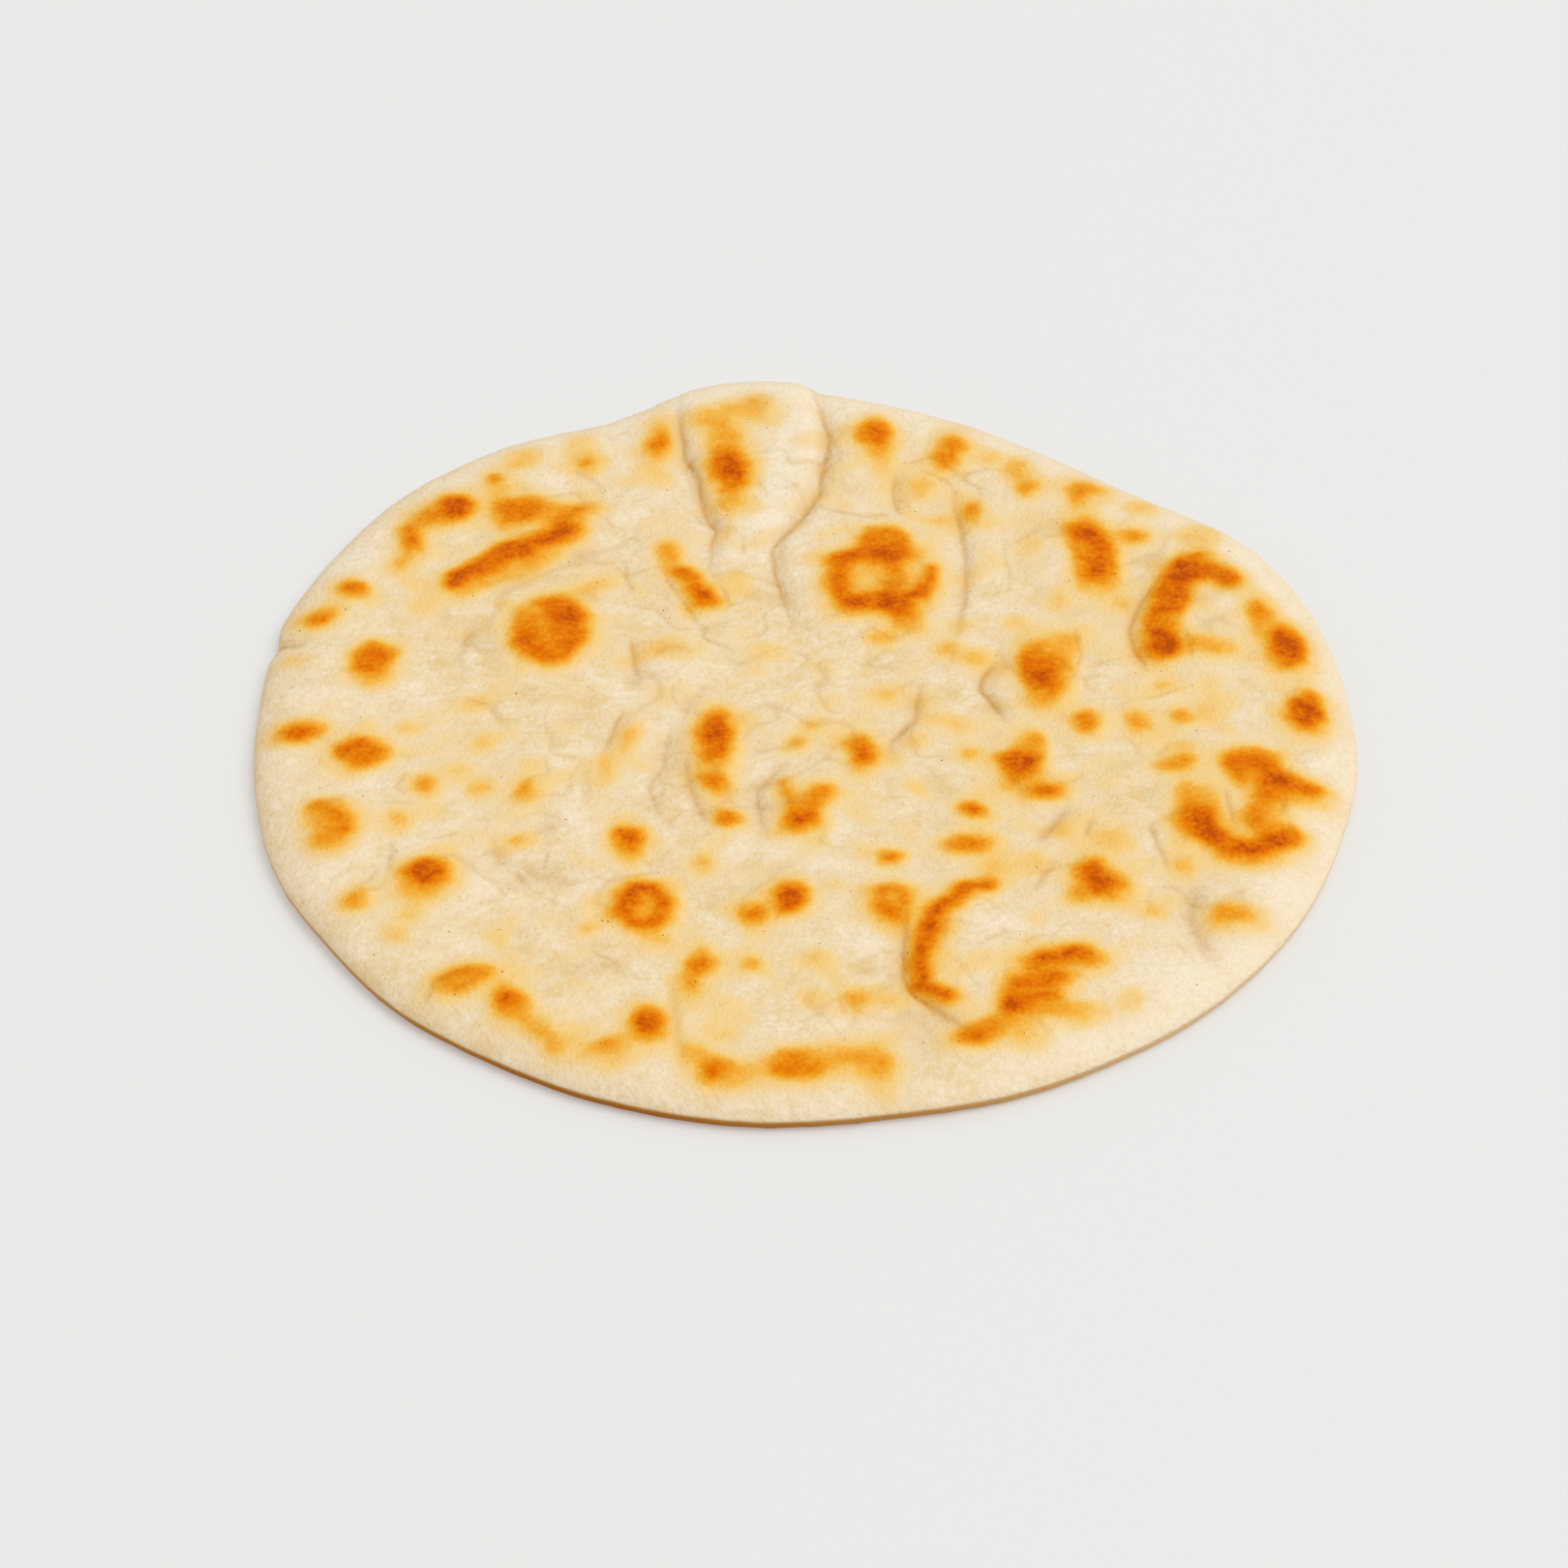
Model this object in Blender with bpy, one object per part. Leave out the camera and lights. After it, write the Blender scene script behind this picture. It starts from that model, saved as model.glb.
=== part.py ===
"""A round pocketless pita bread, one solid lying flat on its underside.

The bread is rolled dough, so its edge is a slightly uneven round, its body has an even
thickness, and its top is pushed up into blisters with creases pressed between them.
Every shape below is laid out in millimetres from the middle of the round, +X to the right
and +Y to the back, and is turned into metres when the mesh is made. The finished solid has
its origin at the middle of its footprint, at the level of its flat underside.
"""

import math

import bmesh
import bpy
import numpy as np

MM = 0.001                    # the lists below are in millimetres, Blender works in metres

# The edge of the round
EDGE_RADIUS = 88.0            # mean radius, a 7 inch bread
# Where the edge stands out or draws in: angle in degrees, spread in degrees, millimetres
EDGE_SWELLS = (
    (5, 22, -2.7),
    (54, 19.5, -7.4),
    (97, 12, 4.0),
    (112, 7, -1.6),
    (134, 17, 2.4),
    (165.5, 1.8, -0.8),
    (180, 22, -1.6),
    (218, 10, -0.6),
    (254, 34, 2.6),
    (298, 22, 1.4),
    (330, 14, -0.6),
)
EDGE_WOBBLES = ((1, 0.9, 0.0), (7, 0.25, 0.6), (11, 0.20, 2.1), (17, 0.12, 4.0))  # waves round, mm, phase

# The section through the edge
BODY_THICKNESS = 5.6          # from the underside to the top where there is no blister
WIDEST_HEIGHT = 1.7           # height at which the edge stands out furthest
SHOULDER_REACH = 10.0         # how far in the rounded top shoulder goes
UNDERCUT_REACH = 1.2          # how far in the edge is lifted off the table
SAG_TO_EDGE = 0.5             # how much thinner the body is near the edge than in the middle

# Blisters: x, y, half length, half width, turn in degrees, height, roundness.
# A roundness under 1 gives a steep border, and over 1 a soft one.
BLISTERS = (
    # back left
    (-40, 20, 14, 19, 0, 0.6, 1.0),
    (-40, 21, 8, 12, 0, 0.4, 1.2),
    (-48, 43, 18, 7, 42, 0.7, 1.0),
    (-46, 56, 9, 6, 10, 0.3, 1.2),
    (-57, 56, 7, 7, 0, 0.4, 1.2),
    (-64, 45, 6, 9, 0, 0.3, 1.3),
    (-69, 15, 8, 9, 0, 0.45, 1.2),
    (-78, 10, 9, 14, 0, 0.3, 1.3),
    (-76, 30, 9, 10, 0, 0.3, 1.3),
    (-24, 72, 6, 12, 0, 0.45, 1.1),
    (-23, 43, 5, 9, 100, 0.4, 1.1),
    (-18, 32, 9, 4.5, 121, 0.7, 0.9),
    (-12, 40, 4, 8, 0, 0.4, 1.0),
    (-20, 12, 7, 10, 0, 0.4, 1.1),
    # back right
    (10, 36, 16, 20, 0, 1, 0.9),
    (10, 70, 6.5, 17, 0, 0.6, 1.0),
    (20, 60, 5, 8, 10, 0.45, 1.0),
    (25, 70, 5, 9, -15, 0.45, 1.1),
    (30, 44, 4, 16, 0, 0.4, 1.1),
    (43, 42, 9, 14, 0, 0.7, 1.0),
    (47, 59, 8, 6, -35, 0.3, 1.2),
    (65, 24, 14, 18, 8, 0.95, 0.9),
    (38, 11, 6.5, 11, 0, 0.8, 0.9),
    (24, 13, 5, 6, 0, 0.3, 1.2),
    (76, 16, 7, 8, 0, 0.3, 1.2),
    # front left
    (-15, -9, 5.5, 13, 0, 0.8, 0.9),
    (-28, -5, 4.5, 8, -10, 0.4, 1.0),
    (-25, -45, 7, 8, 0, 0.7, 0.9),
    (-73, -25, 9, 9, 0, 0.6, 1.0),
    (-57, -37, 9, 10, 0, 0.7, 1.0),
    (-59, -16, 7, 6, 0, 0.4, 1.1),
    (-69, -6, 8, 8, 0, 0.4, 1.2),
    (-80, -2, 6, 8, 0, 0.3, 1.2),
    (-52, -62, 8, 5, 28, 0.6, 0.9),
    (-42, -69, 12, 5, -45, 0.4, 1.2),
    (-25, -72, 8, 7, 0, 0.4, 1.2),
    (-6, -45, 8, 6, 25, 0.45, 1.0),
    (-44, -17, 7, 9, 0, 0.3, 1.3),
    # front right
    (0, -22, 6, 9, 0, 0.55, 1.0),
    (8, -9, 5, 7, 0, 0.4, 1.1),
    (12.5, -45, 6, 6, 0, 0.55, 0.9),
    (24, -28, 6, 9, 0, 0.4, 1.1),
    (23, -57, 9.5, 18, 8, 0.7, 0.9),
    (37, -64, 12, 10, 35, 0.45, 1.1),
    (44, -40, 8, 8, 0, 0.6, 1.0),
    (34, -14, 7, 10, 0, 0.45, 1.0),
    (44, -3, 5, 6, 0, 0.4, 1.0),
    (66, -22, 14, 18, 10, 0.95, 0.9),
    (64, -49, 9, 8, 0, 0.55, 1.0),
    (78, -2, 7, 9, 0, 0.3, 1.2),
    (-1, -80, 13, 6, 0, 0.3, 1.2),
)

# The back blister is puffed up between two creases that meet in a point, and reaches the edge
SHIELD = ((-21, 96), (-20, 74), (-17, 60), (-14, 49), (-7, 44), (0, 53), (3, 66), (2.5, 96))
SHIELD_HEIGHT = 1.0
SHIELD_FLANK = 5.0            # width of the slope inside its border
SHIELD_ARC = (88, 106)        # angles between which it meets the edge, in degrees
SHIELD_OVERHANG = 1.2         # how far it stands out past the edge
SHIELD_STEP = 2.0             # degrees over which that starts

# Creases: a path through (x, y) points, then depth and half width
CREASES = (
    (((-21, 82), (-19, 68), (-17, 57), (-14, 48), (-15, 38)), 0.5, 1.6),
    (((3, 88), (4.5, 73), (2.5, 58), (-4, 45), (-4, 34), (-1, 22)), 0.5, 1.6),
    (((25, 58), (26, 44), (26, 33), (24, 21)), 0.35, 1.6),
    (((15.5, 64), (15.5, 52)), 0.3, 1.4),
    (((56, 34), (52, 22), (53, 11)), 0.4, 1.6),
    (((31, 13), (28, 7), (31, -2)), 0.45, 1.6),
    (((18, 7), (16, -3), (13, -11)), 0.35, 1.5),
    (((-28, 1), (-31, -9)), 0.3, 1.5),
    (((-21, -2), (-22, -14), (-24, -24)), 0.3, 1.8),
    (((-19, -9), (-18, -18), (-15, -28)), 0.3, 1.5),
    (((-3, -11), (-8, -19), (-7, -30)), 0.35, 1.5),
    (((-27, 20), (-27, 9)), 0.3, 1.5),
    (((13.5, -50), (13.5, -63), (18, -69), (23, -74)), 0.4, 1.6),
    (((59, -41), (57, -49), (60, -60)), 0.4, 2.2),
    (((40, -23), (35, -31)), 0.3, 2.0),
    (((-84, 22), (-79, 20.5)), 0.35, 1.5),
    (((15, -68), (17, -81)), 0.35, 3.5),
)

CREASE_FADE = 4.0             # a crease deepens from its ends over a quarter of its length
CREASE_START = 0.3            # share of its depth that it has at its very ends

# The mesh
TOP_RINGS = 34                # rings from the middle of the top to the widest line
SHOULDER_RINGS = 6            # how many of them lie on the rounded shoulder
UNDERCUT_RINGS = 4            # rings from the widest line down to the flat underside
POINTS_PER_RING = 6           # ring number k has this many times k points
UNDER_REACH = 0.75            # the outermost ring inside the underside, as a share of its reach
UNDER_SHRINK = 0.5            # reach and points of each further ring, as a share of the last

# The crust: matte cream
CRUST_COLOUR = (0.84, 0.67, 0.42, 1.0)    # linear light
CRUST_ROUGHNESS = 0.72


def clear_scene():
    """Take away whatever the file opened with."""
    for item in list(bpy.data.objects):
        bpy.data.objects.remove(item, do_unlink=True)


def shield_overhang(degrees):
    """How far the back blister pushes the edge out: a sudden step, then a slow fall."""
    first, last = SHIELD_ARC
    start = min(1.0, max(0.0, (degrees - first) / SHIELD_STEP))
    end = min(1.0, max(0.0, (last - degrees) / (last - first - SHIELD_STEP)))
    return SHIELD_OVERHANG * start * math.sqrt(end)


def edge_radius(angle):
    """Radius of the widest line at an angle in radians, in millimetres."""
    radius = EDGE_RADIUS
    for centre, spread, out in EDGE_SWELLS:
        away = (math.degrees(angle) - centre + 180) % 360 - 180
        radius += out * math.exp(-(away / spread) ** 2)
    for waves, height, phase in EDGE_WOBBLES:
        radius += height * math.sin(waves * angle + phase)
    return radius + shield_overhang(math.degrees(angle))


def blister_height(x, y, blister):
    """Height that one oval blister adds at a point."""
    centre_x, centre_y, length, width, turn, height, roundness = blister
    along = math.cos(math.radians(turn)), math.sin(math.radians(turn))
    u = ((x - centre_x) * along[0] + (y - centre_y) * along[1]) / length
    v = ((y - centre_y) * along[0] - (x - centre_x) * along[1]) / width
    return height * max(0.0, 1.0 - u * u - v * v) ** roundness


def distance_to_path(x, y, path):
    """Shortest distance from a point to a path of straight runs, and how far along it lies."""
    points = np.array(path, dtype=float)
    start, run = points[:-1], np.diff(points, axis=0)
    here = np.array((x, y))
    share = np.clip(((here - start) * run).sum(1) / (run * run).sum(1), 0.0, 1.0)
    gaps = np.hypot(*(start + share[:, None] * run - here).T)
    nearest = int(gaps.argmin())
    return gaps[nearest], (nearest + share[nearest]) / len(run)


def crease_depth(x, y, crease):
    """Depth that one crease takes away at a point; it fades towards both its ends."""
    path, depth, half_width = crease
    gap, along = distance_to_path(x, y, path)
    fade = min(1.0, CREASE_FADE * min(along, 1.0 - along) + CREASE_START)
    return depth * fade * math.exp(-(gap / half_width) ** 2)


def inside(x, y, outline):
    """True where a point lies inside a closed outline."""
    odd = False
    for (ax, ay), (bx, by) in zip(outline, outline[1:] + outline[:1]):
        if (ay > y) != (by > y) and x < ax + (y - ay) * (bx - ax) / (by - ay):
            odd = not odd
    return odd


def shield_height(x, y):
    """Height of the back blister: a flank rises from its border to a level crown."""
    if not inside(x, y, SHIELD):
        return 0.0
    gap, _ = distance_to_path(x, y, SHIELD)
    rise = min(1.0, gap / SHIELD_FLANK)
    return SHIELD_HEIGHT * math.sqrt(rise * (2.0 - rise))


def top_height(x, y):
    """Height of the top above the underside, before the shoulder rounds it off."""
    out = math.hypot(x, y) / EDGE_RADIUS
    height = BODY_THICKNESS - SAG_TO_EDGE * out ** 2
    height += sum(blister_height(x, y, blister) for blister in BLISTERS)
    height += shield_height(x, y)
    height -= sum(crease_depth(x, y, crease) for crease in CREASES)
    return height


def ring_angles(count):
    """Even angles round a ring, the first one at +X."""
    return [2.0 * math.pi * step / count for step in range(count)]


def top_ring(number):
    """Points of one ring of the top, counted from the middle to the widest line."""
    flat_rings = TOP_RINGS - SHOULDER_RINGS
    points = []
    for angle in ring_angles(POINTS_PER_RING * number):
        flat_reach = edge_radius(angle) - SHOULDER_REACH
        if number <= flat_rings:
            reach, round_off = flat_reach * number / flat_rings, 1.0
        else:
            turn = 0.5 * math.pi * (number - flat_rings) / SHOULDER_RINGS
            reach, round_off = flat_reach + SHOULDER_REACH * math.sin(turn), math.cos(turn)
        x, y = reach * math.cos(angle), reach * math.sin(angle)
        rise = (top_height(x, y) - WIDEST_HEIGHT) * round_off
        points.append((x, y, WIDEST_HEIGHT + rise))
    return points


def undercut_ring(number):
    """Points of one ring of the lifted edge, counted down from the widest line."""
    turn = 0.5 * math.pi * number / UNDERCUT_RINGS
    points = []
    for angle in ring_angles(POINTS_PER_RING * TOP_RINGS):
        reach = edge_radius(angle) - UNDERCUT_REACH * (1.0 - math.cos(turn))
        points.append((reach * math.cos(angle), reach * math.sin(angle),
                       WIDEST_HEIGHT * (1.0 - math.sin(turn))))
    return points


def flat_rings():
    """Rings of the flat underside, each with half the points and half the reach of the last."""
    count = int(POINTS_PER_RING * TOP_RINGS * UNDER_SHRINK)
    share = UNDER_REACH
    while count >= POINTS_PER_RING:
        yield [(share * (edge_radius(angle) - UNDERCUT_REACH) * math.cos(angle),
                share * (edge_radius(angle) - UNDERCUT_REACH) * math.sin(angle), 0.0)
               for angle in ring_angles(count)]
        count = int(count * UNDER_SHRINK)
        share *= UNDER_SHRINK


def stitch(bm, first, second):
    """Triangles between two rings of vertices, walking round both by angle."""
    i = j = 0
    while i < len(first) or j < len(second):
        a, b = first[i % len(first)], second[j % len(second)]
        if i == len(first) or (j < len(second) and (j + 1) * len(first) <= (i + 1) * len(second)):
            j += 1
            bm.faces.new((a, b, second[j % len(second)]))
        else:
            i += 1
            bm.faces.new((a, b, first[i % len(first)]))


def close_ring(bm, ring, point, upwards):
    """A fan of triangles from a ring to the point in its middle."""
    middle = bm.verts.new(point)
    for step, corner in enumerate(ring):
        following = ring[(step + 1) % len(ring)]
        pair = (corner, following) if upwards else (following, corner)
        bm.faces.new((middle, *pair))


def bread_mesh():
    """The closed mesh: rings out over the top, round the edge and in under the bread."""
    rings = [top_ring(number) for number in range(1, TOP_RINGS + 1)]
    rings += [undercut_ring(number) for number in range(1, UNDERCUT_RINGS + 1)]
    rings += list(flat_rings())
    every = np.array([point for ring in rings for point in ring])
    middle = 0.5 * (every.min(axis=0) + every.max(axis=0))
    shift = np.array((middle[0], middle[1], 0.0))

    bm = bmesh.new()
    vertex_rings = [[bm.verts.new((np.array(point) - shift) * MM) for point in ring]
                    for ring in rings]
    for first, second in zip(vertex_rings, vertex_rings[1:]):
        stitch(bm, first, second)
    crown = np.array((0.0, 0.0, top_height(0.0, 0.0)))
    close_ring(bm, vertex_rings[0], (crown - shift) * MM, upwards=True)
    close_ring(bm, vertex_rings[-1], -shift * MM, upwards=False)
    mesh = bpy.data.meshes.new("pita_bread")
    bm.to_mesh(mesh)
    bm.free()
    return mesh


def baked_dough():
    """Matte cream-coloured crust."""
    material = bpy.data.materials.new("baked_dough")
    material.use_nodes = True
    shader = material.node_tree.nodes["Principled BSDF"]
    shader.inputs["Base Color"].default_value = CRUST_COLOUR
    shader.inputs["Roughness"].default_value = CRUST_ROUGHNESS
    return material


def build():
    """Make the bread and put it in the scene."""
    clear_scene()
    bread = bpy.data.objects.new("pita_bread", bread_mesh())
    bread.data.materials.append(baked_dough())
    bread.data.shade_smooth()
    bpy.context.scene.collection.objects.link(bread)


build()
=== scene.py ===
# %% [markdown]
# # A toasted pita bread
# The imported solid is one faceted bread: it has the true outline, thickness, blisters and creases.
# This lesson puts a finely divided skin of the same form in its place and toasts it.
# Everything is laid out in millimetres from the middle of the round, and is turned into metres
# when a mesh is made, because Blender works in metres.

# %% Load the solid
import itertools
import math

import bpy
import numpy as np
from mathutils import Matrix, Vector


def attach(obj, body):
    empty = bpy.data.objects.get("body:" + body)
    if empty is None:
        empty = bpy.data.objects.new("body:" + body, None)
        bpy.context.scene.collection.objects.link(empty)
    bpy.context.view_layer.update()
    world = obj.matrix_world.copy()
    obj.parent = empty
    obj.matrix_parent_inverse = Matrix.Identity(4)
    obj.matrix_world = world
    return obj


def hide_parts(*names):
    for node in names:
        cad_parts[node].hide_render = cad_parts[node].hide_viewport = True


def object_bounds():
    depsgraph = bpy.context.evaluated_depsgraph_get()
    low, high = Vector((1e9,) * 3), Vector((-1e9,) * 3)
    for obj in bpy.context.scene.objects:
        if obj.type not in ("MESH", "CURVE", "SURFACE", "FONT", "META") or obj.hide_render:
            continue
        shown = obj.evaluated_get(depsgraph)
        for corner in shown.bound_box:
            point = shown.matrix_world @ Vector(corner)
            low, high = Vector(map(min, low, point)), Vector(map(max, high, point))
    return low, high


MM = 0.001

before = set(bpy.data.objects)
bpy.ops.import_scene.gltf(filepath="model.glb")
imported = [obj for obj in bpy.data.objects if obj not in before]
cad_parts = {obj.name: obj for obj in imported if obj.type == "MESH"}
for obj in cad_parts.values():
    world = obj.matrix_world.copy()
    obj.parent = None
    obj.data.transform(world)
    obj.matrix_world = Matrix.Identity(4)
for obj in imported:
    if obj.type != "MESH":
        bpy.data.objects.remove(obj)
solid_low, solid_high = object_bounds()
print("solid, mm:", [round(side / MM, 1) for side in solid_high - solid_low])

# %% [markdown]
# ## The camera
# A picture of food from across a table is taken with a long lens, from well above the table.
# The camera comes first, so that every later step can be looked at in the photo's own view.
# Its place is a real distance, and its lens follows from how many pixels wide the bread shows.

# %% Camera
IMAGE_SIDE = 1620                      # pixels along the photo's side
FOCAL_LENGTH_PIXELS = 5654             # distance from the eye to the picture, in the same pixels
SENSOR_WIDTH = 36.0                    # millimetres
CAMERA_PLACE = (-3.27, -669.4, 538.6)  # millimetres
LOOK_DOWN = 39.35                      # degrees below the horizontal
CAMERA_ROLL = -0.61                    # degrees


def add_object(name, data):
    """A new object in the scene, at the origin."""
    made = bpy.data.objects.new(name, data)
    bpy.context.scene.collection.objects.link(made)
    return made


def add_camera():
    """A camera that looks along +Y and down at the bread."""
    data = bpy.data.cameras.new("camera")
    data.sensor_width = SENSOR_WIDTH
    data.lens = SENSOR_WIDTH * FOCAL_LENGTH_PIXELS / IMAGE_SIDE
    camera = add_object("camera", data)
    tilt = Matrix.Rotation(math.radians(90.0 - LOOK_DOWN), 4, "X")
    roll = Matrix.Rotation(math.radians(CAMERA_ROLL), 4, "Z")
    camera.matrix_world = Matrix.Translation(Vector(CAMERA_PLACE) * MM) @ tilt @ roll
    bpy.context.scene.camera = camera
    print("lens, mm:", round(data.lens, 1))


add_camera()

# %% [markdown]
# ## Smooth chance
# Dough is uneven, but never in steps. A lattice of random numbers, blended smoothly from one to
# the next, gives a value that drifts over a chosen distance. The seed keeps it the same each run.
# The lattice is turned away from the axes, so that no rows show.

# %% Smooth random values
LATTICE_CELLS = 64           # along each side of the lattice, before it repeats
LATTICE_TILT, LATTICE_SPIN = 0.5, 0.6          # radians that it is turned about X, then Z
LATTICE_TURN = np.array(Matrix.Rotation(LATTICE_SPIN, 3, "Z")
                        @ Matrix.Rotation(LATTICE_TILT, 3, "X"))


def smooth_step(value):
    """0 below 0, 1 above 1, and a soft curve between."""
    share = np.clip(value, 0.0, 1.0)
    return share * share * (3.0 - 2.0 * share)


def drift(points, size, seed):
    """Random values from -1 to 1 that change over about size millimetres."""
    lattice = np.random.default_rng(seed).uniform(-1.0, 1.0, (LATTICE_CELLS,) * 3)
    place = points @ LATTICE_TURN / size
    cell = np.floor(place).astype(int)
    share = smooth_step(place - cell)
    value = np.zeros(len(points))
    for corner in itertools.product((0, 1), repeat=3):
        weight = np.prod(np.where(corner, share, 1.0 - share), axis=1)
        value += weight * lattice[tuple(((cell + corner) % LATTICE_CELLS).T)]
    return value


def layered(points, layers):
    """Drifts added up: over how many millimetres each one goes, by how much, and its seed."""
    return sum(reach * drift(points, size, seed) for size, reach, seed in layers)


def lift(x, y, z=0.0):
    """Points with three coordinates from separate ones."""
    return np.stack([x, y, z + 0.0 * x], axis=-1)


print("drift sample:", drift(lift(np.arange(3.0), np.zeros(3)), 4.0, seed=1).round(2))

# %% [markdown]
# ## The edge of the round
# A ball of dough that is rolled by hand never comes out a true circle. The outline is a circle
# whose radius swells or draws in at some angles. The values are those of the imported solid.

# %% Edge
EDGE_RADIUS = 88.0           # millimetres
# Angle in degrees, spread in degrees, millimetres out
EDGE_SWELLS = (
    (5, 22, -2.7),
    (54, 19.5, -7.4),
    (97, 12, 4.0),
    (112, 7, -1.6),
    (134, 17, 2.4),
    (165.5, 1.8, -0.8),
    (180, 22, -1.6),
    (218, 10, -0.6),
    (254, 34, 2.6),
    (298, 22, 1.4),
    (330, 14, -0.6),
)
# Waves in the whole round, millimetres out, phase
EDGE_WOBBLES = ((1, 0.9, 0.0), (7, 0.25, 0.6), (11, 0.20, 2.1), (17, 0.12, 4.0))
SHIELD_ARC = (88, 106)       # degrees between which the puffed back blister meets the edge
SHIELD_OVERHANG = 1.2        # millimetres that it stands out past the edge
SHIELD_STEP = 2.0            # degrees over which it starts


def shield_overhang(degrees):
    """How far the back blister pushes the edge out: a sudden step, then a slow fall."""
    first, last = SHIELD_ARC
    start = np.clip((degrees - first) / SHIELD_STEP, 0.0, 1.0)
    end = np.clip((last - degrees) / (last - first - SHIELD_STEP), 0.0, 1.0)
    return SHIELD_OVERHANG * start * np.sqrt(end)


def towards_side(degrees, side, spread):
    """1 at one side of the round, falling smoothly to 0 either way; all angles in degrees."""
    away = (degrees - side + 180) % 360 - 180
    return np.exp(-(away / spread) ** 2)


def edge_radius(angle):
    """Radius of the widest line at angles in radians."""
    degrees = np.degrees(angle)
    radius = EDGE_RADIUS + shield_overhang(degrees % 360)
    for side, spread, out in EDGE_SWELLS:
        radius = radius + out * towards_side(degrees, side, spread)
    for waves, height, phase in EDGE_WOBBLES:
        radius = radius + height * np.sin(waves * angle + phase)
    return radius


def inward(x, y):
    """How far in from the edge points lie, along their radius."""
    return edge_radius(np.arctan2(y, x)) - np.hypot(x, y)


all_round = edge_radius(np.radians(np.arange(360.0)))
print("edge radius, mm:", all_round.min().round(1), "to", all_round.max().round(1))

# %% [markdown]
# ## Blisters
# In a hot oven steam lifts the dough into blisters. Each one is an oval dome. A roundness under
# 1 gives it a steep border and a level crown, and over 1 a soft one.

# %% Blisters
# x, y, half length, half width, height, roundness, and a turn in degrees where there is one
BLISTERS = (
    # back left
    (-40, 20, 14, 19, 0.6, 1.0), (-40, 21, 8, 12, 0.4, 1.2), (-48, 43, 18, 7, 0.7, 1.0, 42),
    (-46, 56, 9, 6, 0.3, 1.2, 10), (-57, 56, 7, 7, 0.4, 1.2), (-64, 45, 6, 9, 0.3, 1.3),
    (-69, 15, 8, 9, 0.45, 1.2), (-78, 10, 9, 14, 0.3, 1.3), (-76, 30, 9, 10, 0.3, 1.3),
    (-24, 72, 6, 12, 0.45, 1.1), (-23, 43, 5, 9, 0.4, 1.1, 100),
    (-18, 32, 9, 4.5, 0.7, 0.9, 121), (-12, 40, 4, 8, 0.4, 1.0), (-20, 12, 7, 10, 0.4, 1.1),
    # back right
    (10, 36, 16, 20, 1, 0.9), (10, 70, 6.5, 17, 0.6, 1.0), (20, 60, 5, 8, 0.45, 1.0, 10),
    (25, 70, 5, 9, 0.45, 1.1, -15), (30, 44, 4, 16, 0.4, 1.1), (43, 42, 9, 14, 0.7, 1.0),
    (47, 59, 8, 6, 0.3, 1.2, -35), (65, 24, 14, 18, 0.95, 0.9, 8), (38, 11, 6.5, 11, 0.8, 0.9),
    (24, 13, 5, 6, 0.3, 1.2), (76, 16, 7, 8, 0.3, 1.2),
    # front left
    (-15, -9, 5.5, 13, 0.8, 0.9), (-28, -5, 4.5, 8, 0.4, 1.0, -10), (-25, -45, 7, 8, 0.7, 0.9),
    (-73, -25, 9, 9, 0.6, 1.0), (-57, -37, 9, 10, 0.7, 1.0), (-59, -16, 7, 6, 0.4, 1.1),
    (-69, -6, 8, 8, 0.4, 1.2), (-80, -2, 6, 8, 0.3, 1.2), (-52, -62, 8, 5, 0.6, 0.9, 28),
    (-42, -69, 12, 5, 0.4, 1.2, -45), (-25, -72, 8, 7, 0.4, 1.2),
    (-6, -45, 8, 6, 0.45, 1.0, 25), (-44, -17, 7, 9, 0.3, 1.3),
    # front right
    (0, -22, 6, 9, 0.55, 1.0), (8, -9, 5, 7, 0.4, 1.1), (12.5, -45, 6, 6, 0.55, 0.9),
    (24, -28, 6, 9, 0.4, 1.1), (23, -57, 9.5, 18, 0.7, 0.9, 8),
    (37, -64, 12, 10, 0.45, 1.1, 35), (44, -40, 8, 8, 0.6, 1.0), (34, -14, 7, 10, 0.45, 1.0),
    (44, -3, 5, 6, 0.4, 1.0), (66, -22, 14, 18, 0.95, 0.9, 10), (64, -49, 9, 8, 0.55, 1.0),
    (78, -2, 7, 9, 0.3, 1.2), (-1, -80, 13, 6, 0.3, 1.2),
)


def with_turn(rows, values):
    """The rows of a table, each with a turn of 0 added where it has only its other values."""
    return [row if len(row) > values else (*row, 0.0) for row in rows]


def oval_share(x, y, centre_x, centre_y, half_length, half_width, turn):
    """0 at the middle of an oval, 1 on its border, and more outside."""
    cos, sin = math.cos(math.radians(turn)), math.sin(math.radians(turn))
    along = ((x - centre_x) * cos + (y - centre_y) * sin) / half_length
    across = ((y - centre_y) * cos - (x - centre_x) * sin) / half_width
    return np.hypot(along, across)


def blister_height(x, y):
    """Height that all the blisters add."""
    height = np.zeros_like(x)
    for *oval, rise, roundness, turn in with_turn(BLISTERS, 6):
        share = oval_share(x, y, *oval, turn)
        height += rise * np.maximum(0.0, 1.0 - share ** 2) ** roundness
    return height


print("blisters:", len(BLISTERS))

# %% [markdown]
# ## The puffed blister at the back
# One large blister lies between two creases that meet in a point, and runs out over the edge.
# Its border is a polygon, and its height rises from that border over a short flank.

# %% Back blister
# The corners of its border, as x, y
SHIELD = ((-21, 96), (-20, 74), (-17, 60), (-14, 49), (-7, 44), (0, 53), (3, 66), (2.5, 96))
SHIELD_HEIGHT = 1.0          # millimetres
SHIELD_FLANK = 5.0           # millimetres: width of the slope inside its border


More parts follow.
